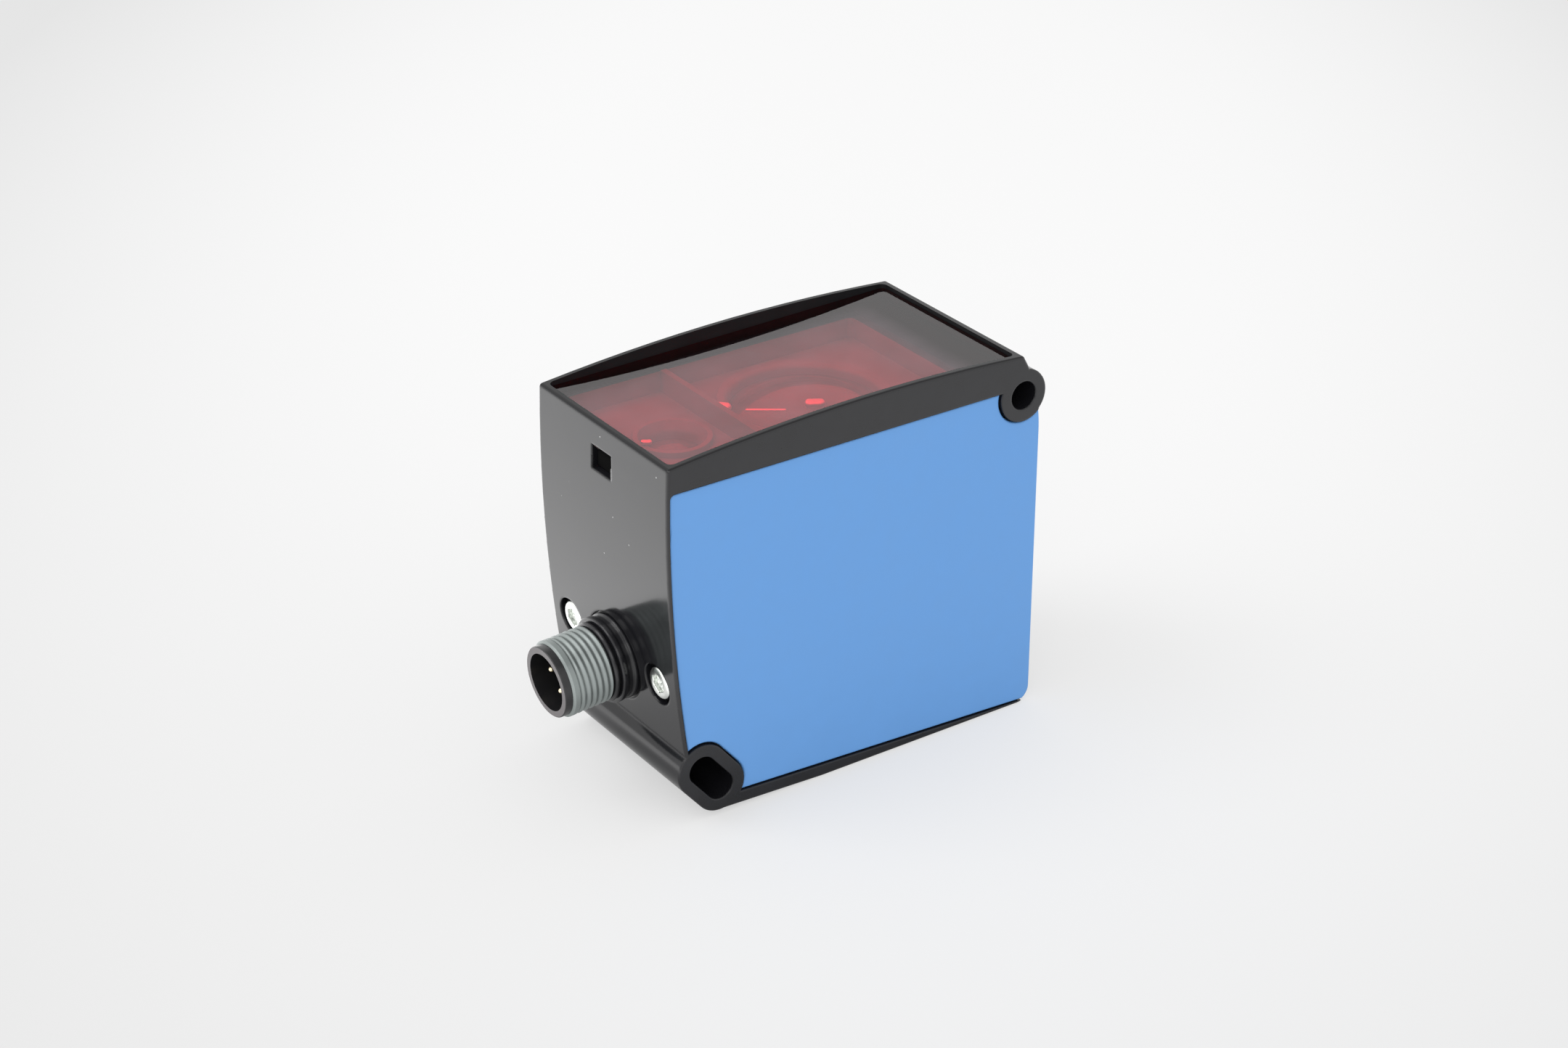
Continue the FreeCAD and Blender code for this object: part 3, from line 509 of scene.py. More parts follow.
@dataclass(frozen=True)
class Finish:
    """A rigid surface: its colour, gloss, fine grain and mottling."""

    name: str
    colour: Triple
    roughness: float
    metallic: float = 0.0
    ior: float = 1.5
    specular: float = 0.5
    grain_size: float = 0.0004
    grain_depth: float = 4e-6
    wave_size: float = 0.004
    wave_depth: float = 0.0
    mottle: float = 0.08
    spread: float = 0.15
    edge_radius: float = 0.0
    dust: float = 0.0

    def build(self) -> bpy.types.Material:
        """Make the material: noise moves its colour and roughness, and two bumps lie on it.

        Where it has an edge radius, its edges catch the light as roundings of that radius. Dust
        is small pale dots, each in one cell of a coarse pattern.

        Returns:
            The material.
        """
        tree = Tree(bpy.data.materials.new(self.name))
        cloud = tree.noise(1 / (CLOUD_GRAINS * self.grain_size), 4.0)
        colour = tree.mix(Mixing.COLOURS, tree.ramp(cloud, *CLOUD_SPAN, 0, 1),
                          shaded(self.colour, 1 - self.mottle),
                          shaded(self.colour, 1 + self.mottle))
        rough = tree.ramp(cloud, *CLOUD_SPAN, self.roughness * (1 - self.spread),
                          self.roughness * (1 + self.spread))
        if self.dust:
            near = tree.add("ShaderNodeTexVoronoi", tree.position(), Scale=1 / self.dust)
            draw = tree.add("ShaderNodeSeparateColor", near.node.outputs["Color"])
            near = tree.ramp(near, *DOT_FADE, 1, 0)
            chosen = tree.ramp(draw, *DOT_CHOICE, 0, 1)
            dots = tree.add("ShaderNodeMath", near, chosen, operation="MULTIPLY")
            colour = tree.mix(Mixing.COLOURS, dots, colour, DOT_COLOUR)
        normal = None
        if self.edge_radius:
            normal = tree.add("ShaderNodeBevel", self.edge_radius, samples=EDGE_SAMPLES)
        normal = tree.bump(tree.noise(1 / self.grain_size, 2.0), self.grain_depth, normal)
        if self.wave_depth:
            normal = tree.bump(tree.noise(1 / self.wave_size, 1.0), self.wave_depth, normal)
        tree.set(tree.nodes["Principled BSDF"], Base_Color=colour, Roughness=rough, Normal=normal,
                 Metallic=self.metallic, IOR=self.ior, Specular_IOR_Level=self.specular)
        return tree.owner


@dataclass(frozen=True)
class Pane:
    """A clear or tinted thin window or lens, which passes light straight through.

    Its haze ends where X and Y run over their spans, by default far outside the object.
    """

    name: str
    colour: Triple
    haze: float
    haze_colour: Triple
    haze_x: Pair = (1.0, 1.1)
    haze_y: Pair = (1.0, 1.1)
    haze_spread: float = 0.3
    ior: float = 1.5
    roughness: float = 0.02
    wave_depth: float = 8e-7
    waves: float = 90.0

    def build(self) -> bpy.types.Material:
        """Make the material: a tinted clear face under a Fresnel mirror with a slight wave.

        Only front faces mirror, because a back face would mirror everything at a flat angle. A
        cloudy film, fading out over a span of X and of Y, scatters a small share of the light.

        Returns:
            The material.
        """
        tree = Tree(bpy.data.materials.new(self.name))
        tree.nodes.remove(tree.nodes["Principled BSDF"])
        normal = tree.bump(tree.noise(self.waves, 1.0), self.wave_depth)
        place = tree.add("ShaderNodeSeparateXYZ", tree.position()).node
        amount = tree.ramp(tree.noise(2 * self.waves), *CLOUD_SPAN,
                           (1 - self.haze_spread) * self.haze, (1 + self.haze_spread) * self.haze)
        for axis, span in (("X", self.haze_x), ("Y", self.haze_y)):
            fade = tree.ramp(place.outputs[axis], *span, 1, 0)
            amount = tree.add("ShaderNodeMath", amount, fade, operation="MULTIPLY")
        clear = tree.add("ShaderNodeBsdfTransparent", (*self.colour, 1))
        frost = tree.add("ShaderNodeBsdfDiffuse", (*self.haze_colour, 1))
        hazy = tree.add("ShaderNodeMixShader", amount, clear, frost)
        rough = tree.ramp(tree.noise(2 * self.waves), *CLOUD_SPAN, self.roughness / 2,
                          self.roughness * 2)
        mirror = tree.add("ShaderNodeBsdfGlossy", Roughness=rough, Normal=normal)
        fresnel = tree.add("ShaderNodeFresnel", IOR=self.ior, Normal=normal)
        back = tree.add("ShaderNodeNewGeometry", out="Backfacing")
        front = tree.add("ShaderNodeMath", 1.0, back, operation="SUBTRACT")
        share = tree.add("ShaderNodeMath", fresnel, front, operation="MULTIPLY")
        both = tree.add("ShaderNodeMixShader", share, hazy, mirror)
        tree.set(tree.nodes["Material Output"], Surface=both)
        return tree.owner


class Palette:
    """Every finish of the sensor, each made once."""

    FINISHES = (
        Finish("gloss_moulding", (0.010, 0.010, 0.012), 0.13, grain_size=0.0003,
               grain_depth=1.2e-6, wave_size=0.0014, wave_depth=3e-6, mottle=0.1,
               edge_radius=0.0005, dust=0.0035, specular=0.43),
        Finish("satin_moulding", (0.013, 0.013, 0.015), 0.3, grain_size=0.00022,
               grain_depth=3e-6, mottle=0.12, edge_radius=0.0004, specular=0.36),
        Finish("blue_cover", (0.141, 0.366, 0.775), 0.5, grain_size=0.00025,
               grain_depth=2e-6, mottle=0.012, spread=0.08),
        Finish("plated_metal", (0.27, 0.30, 0.293), 0.5, metallic=0.55, grain_depth=3e-6,
               mottle=0.12, spread=0.25),
        Finish("bright_screw", (0.74, 0.76, 0.73), 0.25, metallic=1.0, mottle=0.06,
               spread=0.3),
        Finish("contact_plating", (0.86, 0.74, 0.52), 0.2, metallic=1.0),
        Finish("insert_plastic", (0.010, 0.010, 0.011), 0.32, grain_depth=3e-6),
        # painted light: a pale copy of the insert's black for its lit front ring
        Finish("collar_front_painted_light", (0.13, 0.12, 0.124), 0.5, grain_depth=3e-6),
        Finish("black_rubber", (0.012, 0.012, 0.012), 0.28, grain_depth=3e-6),
        # painted red light: the black carrier and lens bezels painted a pale red, as if lit through
        # the window
        Finish("carrier_painted_red_light", (0.21, 0.17, 0.17), 0.55, grain_depth=4e-6),
        # painted red light: a dull pale red for the black walls of the opening and the baffle under
        # the window
        Finish("dull_painted_red_light", (0.19, 0.14, 0.14), 0.7, specular=0.1),
        # painted shade: a darker, less shiny copy of the moulding, so the rim's top and inner walls
        # look black
        Finish("rim_painted_shade", (0.009, 0.009, 0.010), 0.35, specular=0.2, grain_depth=3e-6),
        Finish("gasket_rubber", (0.008, 0.008, 0.008), 0.9, specular=0.0, grain_depth=0.0),
        # painted glints: a bright metal for rods placed only to catch glints
        Finish("glint_metal", (0.98, 0.9, 0.9), 0.42, metallic=1.0),
        Finish("board_resist", (0.02, 0.13, 0.06), 0.35, mottle=0.2),
        Finish("tin_plate", (0.72, 0.72, 0.70), 0.25, metallic=1.0),
        Finish("amber_film", (0.55, 0.25, 0.06), 0.3),
    )
    PANES = (
        Pane("red_window", (0.95, 0.40, 0.44), 0.038, (1.0, 0.74, 0.86),
             haze_x=(0.0215, 0.0245), haze_y=(0.0095, 0.0135)),
        # painted red light: the lens's haze is tinted pale red to blend with the painted deck
        Pane("clear_lens", (0.9, 0.91, 0.93), 0.45, (0.34, 0.26, 0.26), ior=1.6, roughness=0.01),
    )

    def __init__(self) -> None:
        """Build every material."""
        self.materials = {finish.name: finish.build() for finish in self.FINISHES + self.PANES}

    def dress(self, piece: Piece, finish: str, slot: str | None = None) -> None:
        """Give a piece its finish.

        Args:
            piece: The piece.
            finish: The finish's name.
            slot: Not used.
        """
        piece.data.materials.clear()
        piece.data.materials.append(self.materials[finish])

    def paint(self, piece: Piece, faces: np.ndarray, finish: str) -> None:
        """Give some faces of a dressed piece another finish.

        Args:
            piece: The piece.
            faces: Whether each face takes it.
            finish: The finish's name.
        """
        mesh = piece.data
        numbers = read(mesh.polygons, "material_index", np.int32, 1).ravel()
        numbers[faces] = len(mesh.materials)
        mesh.materials.append(self.materials[finish])
        mesh.polygons.foreach_set("material_index", numbers)
        mesh.update()


def corner_normals(mesh: bpy.types.Mesh) -> np.ndarray:
    """Work out a smooth normal for each corner of a triangle mesh.

    A corner's normal is the sum of the normals of the triangles that meet at its point and
    turn by less than a limit, each times the area of the flat region that it lies in, raised
    to a power. Flat regions so stay flat up to their edges, and roundings take up the turn.

    Args:
        mesh: A mesh of triangles with merged points.

    Returns:
        One unit vector for each corner.
    """
    corners = read(mesh.loops, "vertex_index", int, 1).ravel()
    a, b, c = read(mesh.vertices, "co")[corners.reshape(-1, 3)].transpose(1, 0, 2)
    normals = np.cross(b - a, c - a)
    areas = np.linalg.norm(normals, axis=1) / 2
    normals = normals / np.maximum(2 * areas, LEAST_AREA)[:, None]
    offset = np.einsum("ij,ij->i", normals, a)
    keys = np.column_stack([np.round(normals * NORMAL_STEPS), np.round(offset / OFFSET_STEP)])
    _, region = np.unique(keys.astype(np.int64), axis=0, return_inverse=True)
    weights = np.bincount(region.ravel(), weights=areas)[region.ravel()] ** REGION_POWER
    order = np.argsort(corners, kind="stable")
    faces = order // 3
    starts = np.searchsorted(corners[order], corners[order], side="left")
    sizes = np.searchsorted(corners[order], corners[order], side="right") - starts
    place = np.arange(len(order)) - starts
    total = np.zeros((len(order), 3))
    limit = math.cos(math.radians(SHARP_TURN))
    for step in range(int(sizes.max())):
        active = step < sizes
        other = faces[starts[active] + (place[active] + step) % sizes[active]]
        mine = faces[active]
        turn = np.einsum("ij,ij->i", normals[mine], normals[other])
        total[active] += np.where(turn > limit, weights[other], 0)[:, None] * normals[other]
    result = np.zeros_like(total)
    result[order] = unit(total)
    return result


def smooth_copy(node: str, name: str) -> Piece:
    """Copy a solid's mesh with its loose triangles merged, to stand for it.

    Args:
        node: The solid's name.
        name: The new piece's name.

    Returns:
        The new piece.
    """
    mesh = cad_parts[node].data.copy()
    mesh.name = name
    work = bmesh.new()
    work.from_mesh(mesh)
    bmesh.ops.remove_doubles(work, verts=work.verts, dist=MERGE_DISTANCE)
    work.to_mesh(mesh)
    work.free()
    mesh.polygons.foreach_set("use_smooth", np.ones(len(mesh.polygons), bool))
    mesh.normals_split_custom_set(corner_normals(mesh).tolist())
    piece = add_piece(name, mesh)
    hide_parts(node)
    return piece


@dataclass
class Group(ABC):
    """A sub-assembly: it takes its finishes from the palette, and the connector has an axis."""

    palette: Palette
    axis: ConnectorAxis

    @abstractmethod
    def build(self) -> list[Piece]:
        """Make the group's pieces.

        Returns:
            The pieces.
        """


@dataclass
class Housing(Group):
    """The moulded housing, glossy with satin side faces; the walls of the opening under the window
    are painted a dull pale red as painted red light.

    Its opening and its rim are boxes, given by a span of X, of Y and of Z.
    """

    side_depth: float = 0.0171
    flatness: float = 0.98
    bulge_radius: float = 0.255
    bulge_axis: Triple = (0.22325, 0.0, 0.047)
    bulge_tolerance: float = 0.00003
    bulge_turn: float = 3.0
    lean: float = 0.05
    opening: tuple[Pair, ...] = ((-0.0305, 0.0234), (-0.0152, 0.0152), (0.0528, 0.0567))
    rim: tuple[Pair, ...] = ((-0.0309, 0.0312), (-0.0168, 0.0168), (0.0569, 0.0700))
    crest_height: float = 0.0569
    crest_slope: float = 0.6

    def bowed_normals(self, mesh: bpy.types.Mesh) -> None:
        """Give the bowed connector face the normals of its true cylinder.

        A corner on that face gets the unit vector from the cylinder's axis to its point, seen
        from the side.

        Args:
            mesh: The housing's mesh, of triangles.
        """
        corners = read(mesh.loops, "vertex_index", int, 1).ravel()
        away = read(mesh.vertices, "co")[corners] - self.bulge_axis
        away[:, 1] = 0
        true = unit(away)
        flat = np.repeat(read(mesh.polygons, "normal"), 3, axis=0)
        radius = np.linalg.norm(away, axis=1)
        on_face = np.abs(radius - self.bulge_radius) < self.bulge_tolerance
        limit = math.cos(math.radians(self.bulge_turn))
        on_face &= np.einsum("ij,ij->i", flat, true) > limit
        on_face = np.repeat(on_face.reshape(-1, 3).all(axis=1), 3)
        normals = np.where(on_face[:, None], true, corner_normals(mesh))
        mesh.normals_split_custom_set(normals.tolist())

    def build(self) -> list[Piece]:
        """Dress a merged copy of the housing's solid.

        Returns:
            The housing.
        """
        piece = smooth_copy("housing", "housing_moulding")
        self.palette.dress(piece, "gloss_moulding", "housing_black")
        self.bowed_normals(piece.data)
        faces = piece.data.polygons
        normals, centres = read(faces, "normal"), read(faces, "center")
        side = (np.abs(normals[:, 1]) > self.flatness) & (np.abs(centres[:, 1]) > self.side_depth)
        upright = np.abs(normals[:, 2]) < self.lean
        opening, rim = (upright & ((centres > low) & (centres < high)).all(axis=1)
                        for low, high in (np.transpose(box) for box in (self.opening, self.rim)))
        crest = (centres[:, 2] > self.crest_height) & (normals[:, 2] > self.crest_slope)
        self.palette.paint(piece, side, "satin_moulding")
        # painted red light on the opening's walls
        self.palette.paint(piece, opening, "dull_painted_red_light")
        # painted shade on the rim's top and inner walls
        self.palette.paint(piece, rim | crest, "rim_painted_shade")
        return [piece]


@dataclass
class ThreadedSleeve(Group):
    """The metal sleeve with its 12 mm fine thread, in millimetres along the connector's axis."""

    start: float = 3.6
    end: float = 10.54
    outer: float = 5.95
    depth: float = 0.19
    lead: float = 1.05
    run_out: float = 0.4
    pitch: float = 1.0
    chamfer: float = 0.3
    bore: float = 4.85
    rows: int = 280
    steps: int = 160

    def build(self) -> list[Piece]:
        """Cut the thread as a helix on the sleeve's outside.

        At height h and angle t the phase is h / pitch - t / turn. The radius is the outer radius
        less the depth times a raised cosine of the phase, held below a cone at each end.

        Returns:
            The sleeve.
        """
        angles = np.arange(self.steps) * TURN / self.steps
        heights = np.linspace(self.start, self.end, self.rows)
        phase = heights[:, None] / self.pitch - angles[None, :] / TURN
        groove = 0.5 - 0.5 * np.cos(TURN * phase)
        fade = np.clip((self.end - self.lead - heights) / self.run_out, 0, 1)
        radius = self.outer - self.depth * groove * fade[:, None]
        near_end = np.minimum(heights - self.start, self.end - heights)
        radius = np.minimum(radius, (self.outer - self.chamfer + near_end)[:, None])
        radius = np.vstack([radius, np.full((2, self.steps), self.bore)])
        heights = np.append(heights, [self.end, self.start])
        faces = list(grid_faces(len(heights), self.steps, True))
        points = self.axis.place(ring_points(radius, heights, angles))
        piece = closed_piece("connector_sleeve", points, faces, Smoothing.MOULDED)
        self.palette.dress(piece, "plated_metal", "nickel_plate")
        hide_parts("threaded_sleeve")
        return [piece]


@dataclass
class FlangeScrews(Group):
    """The two pan-head screws beside the connector, in millimetres on its axis.

    The socket's foot and the drill's mark in its floor are steps from the floor's edge and
    from its middle.
    """

    raise_mm: float = 0.8
    spread: float = 12.0
    top: float = -0.12
    head: float = 2.65
    height: float = 2.2
    crown: float = 0.7
    head_edge: float = 0.08
    socket: float = 1.35
    socket_depth: float = 0.8
    socket_round: float = 0.1
    socket_foot: tuple[Pair, ...] = ((-0.02, 0.1), (-0.2, 0.0))
    drill_mark: tuple[Pair, ...] = ((0.25, -0.2), (0.0, -0.24))
    lobe: float = 0.07
    shank: float = 1.5
    tail: float = -7.1
    tail_edge: float = 0.2
    steps: int = 96

    def profile(self) -> tuple[np.ndarray, np.ndarray]:
        """Draw the screw's outline from its tail to the middle of its socket.

        Returns:
            Radius and height of each point, and the depth of its lobes.
        """
        low, floor = self.top - self.height, self.top - self.socket_depth
        crown = profile_arc((self.head - self.crown, self.top - self.crown), self.crown, 0, 90, 9)
        edge = profile_arc((self.socket + self.socket_round, self.top - self.socket_round),
                           self.socket_round, 90, 180, 4)
        outside = np.vstack([[0, self.tail], [self.shank - self.tail_edge, self.tail],
                             [self.shank, self.tail + self.tail_edge], [self.shank, low],
                             [self.head - self.head_edge, low],
                             [self.head, low + self.head_edge], crown])
        inside = np.vstack([edge, np.array([self.socket, floor]) + self.socket_foot,
                            np.array([0, floor]) + self.drill_mark])
        lobes = np.zeros(len(outside) + len(inside))
        lobes[len(outside):-2] = self.lobe
        return np.vstack([outside, inside]), lobes

    def build(self) -> list[Piece]:
        """Turn both screws as one piece.

        Returns:
            The screws.
        """
        profile, lobes = self.profile()
        shifts = tuple((self.raise_mm, side * self.spread, 0.0) for side in (-1, 1))
        piece = revolve("plated_screws", profile, self.axis.place, self.steps, lobes, shifts)
        self.palette.dress(piece, "bright_screw", "screw_steel")
        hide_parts("flange_screws")
        return [piece]


@dataclass
class NeckRings(Group):
    """The ribbed ring against the face and the O-ring in front of it, in millimetres."""

    inner: float = 5.66
    outer: float = 6.7
    low: float = -0.4
    high: float = 2.48
    groove: float = 0.28
    rib_round: float = 0.12
    ring_radius: float = 0.44
    ring_middle: float = 5.75
    ring_height: float = 3.05
    steps: int = 160

    def build(self) -> list[Piece]:
        """Turn both rings.

        Returns:
            The rings.
        """
        third = (self.high - self.low) / 3
        rib, waist = self.outer - self.rib_round, self.outer - self.groove
        parts = [[[self.inner, self.low]]]
        for start, end in ((self.low, self.low + third), (self.high - third, self.high)):
            parts.append(profile_arc((rib, start + self.rib_round), self.rib_round, -90, 0))
            parts.append(profile_arc((rib, end - self.rib_round), self.rib_round, 0, 90))
        parts.insert(3, [[waist, self.low + third], [waist, self.high - third]])
        profile = np.vstack(parts + [[[self.inner, self.high]]])
        seal = revolve("face_seal", profile, self.axis.place, self.steps)
        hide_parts("flange_seal")
        circle = profile_arc((self.ring_middle, self.ring_height), self.ring_radius, 0, 345, 24)
        ring = revolve("neck_ring", circle, self.axis.place, self.steps, smoothing=Smoothing.ALL)
        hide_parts("connector_o_ring")
        for piece in (seal, ring):
            self.palette.dress(piece, "gloss_moulding", "rubber_black")
        return [seal, ring]


@dataclass
class ContactPins(Group):
    """The four plated contacts, in millimetres on the connector's axis."""

    count: int = 4
    radius: float = 0.5
    circle: float = 2.5
    turn: float = 87.0
    tail: float = -9.4
    tail_edge: float = 0.1
    tip: float = 9.8
    steps: int = 40

    def build(self) -> list[Piece]:
        """Turn each contact with a domed tip.

        Returns:
            The contacts.
        """
        dome = profile_arc((0, self.tip - self.radius), self.radius, 0, 90, 10)
        dome[-1, 0] = 0
        profile = np.vstack([[0, self.tail], [self.radius - self.tail_edge, self.tail],
                             [self.radius, self.tail + self.tail_edge], dome])
        pins = []
        for number in range(self.count):
            angle = math.radians(self.turn + 360 / self.count * number)
            shift = (self.circle * math.cos(angle), self.circle * math.sin(angle), 0.0)
            pin = revolve(f"plated_contact_{number + 1}", profile, self.axis.place, self.steps,
                          shifts=(shift,))
            self.palette.dress(pin, "contact_plating", "contact_gold")
            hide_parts(f"contact_pin_{number + 1}")
            pins.append(pin)
        return pins


@dataclass
class ContactInsert(Group):
    """The black insert with the contacts, whose front ring is painted paler as painted light."""

    front_mm: float = 11.5
    flatness: float = 0.9

    def build(self) -> list[Piece]:
        """Copy the insert's solid and paint the faces at its front that look along the axis paler,
        as painted light.

        Returns:
            The insert.
        """
        piece = smooth_copy("contact_carrier", "contact_insert")
        self.palette.dress(piece, "insert_plastic", "insert_black")
        foot, front = self.axis.place(np.array([[0.0, 0.0, 0.0], [0.0, 0.0, self.front_mm]]))
        along = unit(front - foot)
        # painted light on the front faces that look along the axis
        pale = (read(piece.data.polygons, "center") - front) @ along > 0
        pale &= read(piece.data.polygons, "normal") @ along > self.flatness
        self.palette.paint(piece, pale, "collar_front_painted_light")
        return [piece]


@dataclass
class Window(Group):
    """The window and its gasket, which rise slightly towards the plain end."""

    rise: float = 0.00105

    def build(self) -> list[Piece]:
        """Copy both solids and lift each point by the rise times its share of the length.

        Returns:
            The window and its gasket.
        """
        pane = smooth_copy("window_pane", "window_plate")
        gasket = smooth_copy("window_seal", "window_gasket")
        self.palette.dress(pane, "red_window", "window_red")
        self.palette.dress(gasket, "gasket_rubber", "rubber_black")
        for piece in (pane, gasket):
            points = read(piece.data.vertices, "co")
            left, right = points[:, 0].min(), points[:, 0].max()
            points[:, 2] += self.rise * (points[:, 0] - left) / (right - left)
            piece.data.vertices.foreach_set("co", points.ravel())
            piece.data.update()
        return [pane, gasket]


@dataclass
class Lens:
    """A lens with a domed top, in millimetres: its place, its edge and its dome."""

    name: str
    node: str
    x: float
    radius: float
    edge: float
    dome: float
    height: float
    seat: float = 50.55
    bevel: float = 0.15
    steps: int = 160

    def build(self) -> Piece:
        """Turn the lens.

        The dome is an arc of radius (dome^2 + height^2) / (2 height).

        Returns:
            The lens.
        """
        ball = (self.dome ** 2 + self.height ** 2) / (2 * self.height)
        shoulder = self.seat + self.edge
        reach = math.degrees(math.asin(self.dome / ball))
        arc = profile_arc((0, shoulder + self.height - ball), ball, 90 - reach, 90, 28)
        arc[-1, 0] = 0
        profile = np.vstack([[0, self.seat], [self.radius - self.bevel, self.seat],
                             [self.radius, self.seat + self.bevel], [self.radius, shoulder], arc])
        piece = revolve(self.name, profile, lambda points: (points + [self.x, 0, 0]) * MM,
                        self.steps)
        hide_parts(self.node)
        return piece


@dataclass
class Rod:
    """A round-ended rod between two points, in millimetres."""

    name: str
    start: Triple
    end: Triple
    radius: float
    aside: Triple = (0.3, 0.2, 1.0)
    steps: int = 32

    def build(self) -> Piece:
        """Turn the rod's outline and lay it along its line.

        The rod's own height axis is the unit vector from start to end, and two vectors square
        to it complete the turn.

        Returns:
            The rod.
        """
        start, end = np.array(self.start), np.array(self.end)
        along = unit(end - start)
        side = unit(np.cross(along, self.aside))
        turn = np.column_stack([side, np.cross(along, side), along])
        foot = profile_arc((0, 0), self.radius, -90, 0, 8)
        head = profile_arc((0, np.linalg.norm(end - start)), self.radius, 0, 90, 8)
        foot[0, 0] = head[-1, 0] = 0
        return revolve(self.name, np.vstack([foot, head]),
                       lambda points: (points @ turn.T + start) * MM, self.steps,
                       smoothing=Smoothing.ALL)


class WindowOptics(Group):
    """What shows under the window: both lenses, and bright rods placed only to catch the red
    glints, as painted glints.
    """

    LENSES = (
        Lens("receiver_dome", "receiver_lens", 4.0, 12.4, 2.0, 11.4, 2.9),
        Lens("emitter_dome", "emitter_lens", -19.5, 5.0, 1.2, 4.1, 1.1),
    )
    # painted glints: rods placed where red glints show under the window
    GLINT_RODS = (
        Rod("glint_wire", (-7.1, -0.8, 55.3), (-2.5, -4.0, 55.3), 0.22),
        Rod("glint_rod_1", (-10.1, 1.6, 55.7), (-9.5, 0.9, 55.7), 0.75),
        Rod("glint_rod_2", (0.7, -5.6, 56.1), (2.1, -6.5, 56.1), 0.75),
        Rod("glint_rod_3", (-24.8, -0.4, 54.8), (-24.0, -0.9, 54.8), 0.4),
    )

    def build(self) -> list[Piece]:
        """Make the lenses and the glint rods.

        Returns:
            The pieces.
        """
        pieces = []
        for group, finish, slot in ((self.LENSES, "clear_lens", "lens_clear"),
                                    (self.GLINT_RODS, "glint_metal", "part_steel")):
            for shape in group:
                piece = shape.build()
                self.palette.dress(piece, finish, slot)
                pieces.append(piece)
        return pieces


@dataclass
class OpticsDeck(Group):
    """The optics carrier, whose deck is painted a pale red as painted red light and whose latch
    nose stays black.
    """

    nose_end: float = -0.0275

    def build(self) -> list[Piece]:
        """Copy the carrier's solid, paint it a pale red as painted red light and give its latch
        nose plain black.

        Returns:
            The carrier.
        """
        piece = smooth_copy("optics_carrier", "optics_deck")
        self.palette.dress(piece, "carrier_painted_red_light", "carrier_black")
        nose = read(piece.data.polygons, "center")[:, 0] < self.nose_end
        self.palette.paint(piece, nose, "gasket_rubber")
        return [piece]


@dataclass(frozen=True)
class Lamp:
    """A square lamp: its place and its side in metres, and its power in watts."""

    name: str
    place: Triple
    size: float
    power: float


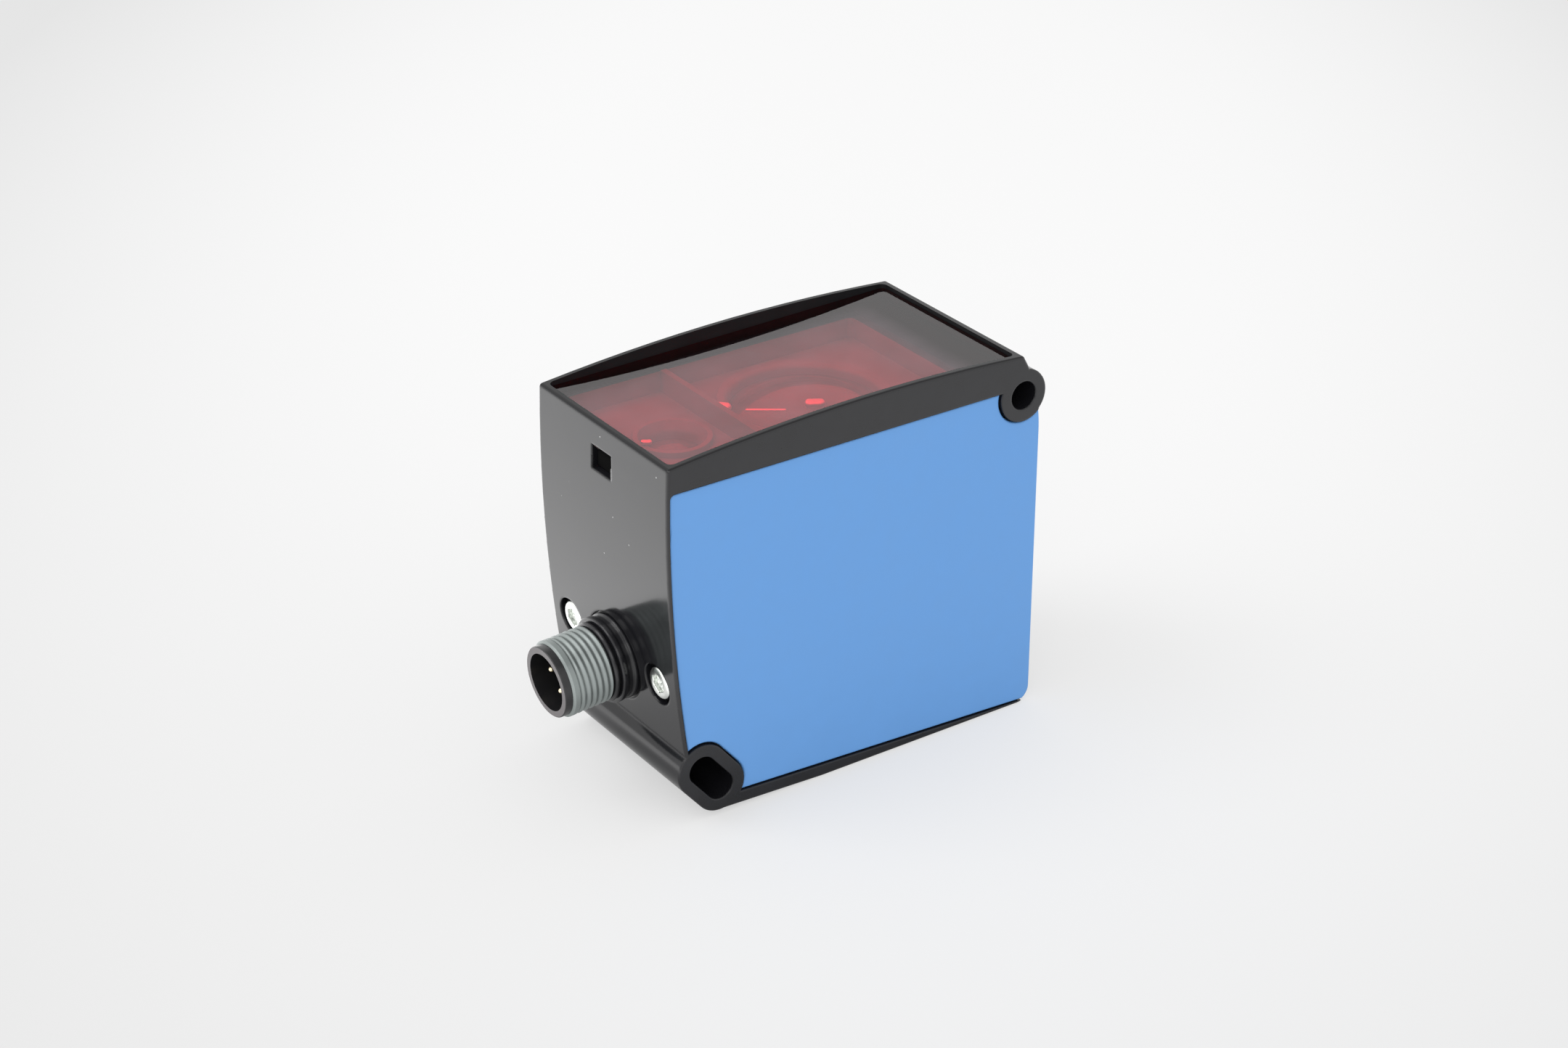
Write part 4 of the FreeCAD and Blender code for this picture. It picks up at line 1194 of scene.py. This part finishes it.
@dataclass
class Studio:
    """The floor, the light round the object and the camera at the photograph's angle.

    The tuples of four are the steps of a slope or a fall, as Tree takes them.
    """

    azimuth: float = -34.511
    elevation: float = 27.612
    roll: float = -0.059
    distance_mm: float = 467.21
    shift_mm: Pair = (-0.055, -5.315)
    target_mm: Triple = (0.0, 0.0, 28.0)
    focal_pixels: float = 4235.8
    image_width: float = 2160.0
    sensor_width: float = 36.0
    clip_start: float = 0.01
    floor_size: float = 6.0
    floor_albedo: float = 0.30
    floor_bounce: float = 0.25
    mirror_side: Triple = (-0.57, 0.82, 0)
    mirror_steps: tuple[float, ...] = (-0.03, 0.03, 1.05, 1.8)
    near_fall: tuple[float, ...] = (0.018, 0.055, 0.18, 1.0)
    near_stretch: Triple = (1.9, 1.0, 1.0)
    glow_fall: tuple[float, ...] = (0.06, 0.4, 0.60, 0.21)
    glow_least: float = 0.43
    glow_middle: Triple = (0.1525, 0.1864, 0.0)
    glow_stretch: Triple = (1.0, 1.9, 1.0)
    sky_steps: tuple[float, ...] = (0.0, 0.5, 1.1, 1.3)
    sky_light: float = 0.95
    lamps: tuple[Lamp, ...] = (Lamp("key", (-0.65, 0.30, 0.85), 0.6, 4.0),
                               Lamp("fill", (-0.30, -0.40, 0.32), 0.25, 0.5))

    def stand(self, name: str, data: bpy.types.ID, axes: list[np.ndarray],
              place: Triple | np.ndarray) -> bpy.types.Object:
        """Put a camera or a lamp into the scene.

        Args:
            name: Its name.
            data: Its data.
            axes: Its right, up and back directions.
            place: Its place in metres.

        Returns:
            The camera or lamp.
        """
        item = bpy.data.objects.new(name, data)
        matrix = np.eye(4)
        matrix[:3, :3] = np.column_stack(axes)
        matrix[:3, 3] = place
        item.matrix_world = Matrix(matrix.tolist())
        bpy.context.scene.collection.objects.link(item)
        return item

    def camera(self) -> None:
        """Put the camera where the photograph was taken from.

        Its axes are the view's right, up and back directions, turned by a slight roll, and its
        place is the target plus those axes times the shift and the distance.
        """
        a, e, r = (math.radians(v) for v in (self.azimuth, self.elevation, self.roll))
        back = np.array([math.sin(a) * math.cos(e), -math.cos(a) * math.cos(e), math.sin(e)])
        right = np.array([math.cos(a), math.sin(a), 0.0])
        up = np.cross(back, right)
        right, up = (math.cos(r) * right + math.sin(r) * up, math.cos(r) * up - math.sin(r) * right)
        place = (np.array(self.target_mm) - self.shift_mm[0] * right - self.shift_mm[1] * up
                 + self.distance_mm * back) * MM
        data = bpy.data.cameras.new("camera")
        data.sensor_width = self.sensor_width
        data.lens = self.focal_pixels / self.image_width * self.sensor_width
        data.clip_start = self.clip_start
        bpy.context.scene.camera = self.stand("camera", data, [right, up, back], place)

    def floor(self) -> None:
        """Lay a pale floor that keeps the object's shadow.

        Its glow depends on the ray: the camera sees a painted pool of light that falls off with the
        distance from a place behind the object, and mirrors see a painted reflection, brighter to
        one side and dark near the object as painted shadow.
        """
        half = self.floor_size / 2
        mesh = bpy.data.meshes.new("floor")
        mesh.from_pydata([(-half, -half, 0), (half, -half, 0), (half, half, 0), (-half, half, 0)],
                         [], [(0, 1, 2, 3)])
        floor = bpy.data.objects.new("floor", mesh)
        bpy.context.scene.collection.objects.link(floor)
        tree = Tree(bpy.data.materials.new("pale_floor"))
        tree.nodes.remove(tree.nodes["Principled BSDF"])
        sloped = tree.slope("Object", self.mirror_side, self.mirror_steps)
        # painted shadow in the floor's reflection near the object
        near = tree.fall((0, 0, 0), 0, self.near_stretch, self.near_fall)
        mirrored = tree.add("ShaderNodeMath", sloped, near, operation="MULTIPLY")
        seen = tree.fall(self.glow_middle, self.azimuth, self.glow_stretch, self.glow_fall)
        held = tree.add("ShaderNodeMath", seen, self.glow_least, operation="MAXIMUM")
        strength = tree.by_ray(held, mirrored, self.floor_bounce)
        glow = tree.add("ShaderNodeEmission", Strength=strength)
        diffuse = tree.add("ShaderNodeBsdfDiffuse", (self.floor_albedo,) * 3 + (1,))
        both = tree.add("ShaderNodeAddShader", diffuse, glow)
        tree.set(tree.nodes["Material Output"], Surface=both)
        mesh.materials.append(tree.owner)

    def world(self) -> None:
        """Light the object evenly from all round, before a white background."""
        tree = Tree(bpy.data.worlds.new("studio"))
        bpy.context.scene.world = tree.owner
        mirrored = tree.slope("Generated", (0, 0, 1), self.sky_steps)
        tree.set(tree.nodes["Background"], Color=(1, 1, 1, 1),
                 Strength=tree.by_ray(1.0, mirrored, self.sky_light))

    def hang(self, lamp: Lamp) -> None:
        """Hang a lamp that faces the middle of the object.

        Args:
            lamp: The lamp.
        """
        data = bpy.data.lights.new(lamp.name, "AREA")
        data.size = lamp.size
        data.energy = lamp.power
        back = unit(np.array(lamp.place) - np.array(self.target_mm) * MM)
        right = unit(np.cross([0, 0, 1], back))
        self.stand(lamp.name, data, [right, np.cross(back, right), back], lamp.place)

    def build(self) -> None:
        """Set up the camera, the floor, the light and the colour view."""
        self.camera()
        self.floor()
        self.world()
        for lamp in self.lamps:
            self.hang(lamp)
        bpy.context.scene.view_settings.view_transform = "Standard"


GROUPS = (Housing, ThreadedSleeve, FlangeScrews, NeckRings, ContactPins, ContactInsert, Window,
          WindowOptics, OpticsDeck)

SMOOTH_COPIES = (
    ("blue_cover", "cover_blue", {"side_cover": "cover_plate"}),
    # painted red light on the black lens bezels
    ("carrier_painted_red_light", "carrier_black", {"receiver_lens_ring": "receiver_bezel",
                                          "emitter_lens_ring": "emitter_bezel"}),
    ("insert_plastic", "insert_black", {"connector_body": "connector_flange"}),
    ("contact_plating", "contact_gold", {"laser_diode": "diode_can"}),
    ("tin_plate", "part_steel", {"photodiode": "detector_can",
                                 "receiver_screws": "receiver_board_screws",
                                 "emitter_screws": "emitter_board_screws",
                                 "board_screws": "main_board_screws"}),
)

PLAIN_NODES = {
    "black_rubber": ("cover_gasket",),
    # painted red light on the black baffle
    "dull_painted_red_light": ("light_baffle",),
    "board_resist": ("receiver_board", "emitter_board", "main_board", "connector_board"),
    "amber_film": ("receiver_flex", "emitter_flex"),
    "insert_plastic": ("board_header", "processor_chip"),
    "tin_plate": ("shield_can",),
}


def main() -> None:
    """Build the sensor's pieces in order and report each."""
    logging.basicConfig(level=logging.INFO, format="%(name)s %(message)s")
    Studio().build()
    palette = Palette()
    axis = ConnectorAxis()
    pieces = [piece for group in GROUPS for piece in group(palette, axis).build()]
    for finish, slot, copies in SMOOTH_COPIES:
        for node, name in copies.items():
            piece = smooth_copy(node, name)
            palette.dress(piece, finish, slot)
            pieces.append(piece)
    for finish, nodes in PLAIN_NODES.items():
        for node in nodes:
            palette.dress(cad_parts[node], finish)
    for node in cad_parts.values():
        if not node.data.materials:
            palette.dress(node, "black_rubber")
    for piece in pieces:
        LOG.info("%s has %d faces", piece.name, len(piece.data.polygons))


if __name__ == "__main__":
    main()
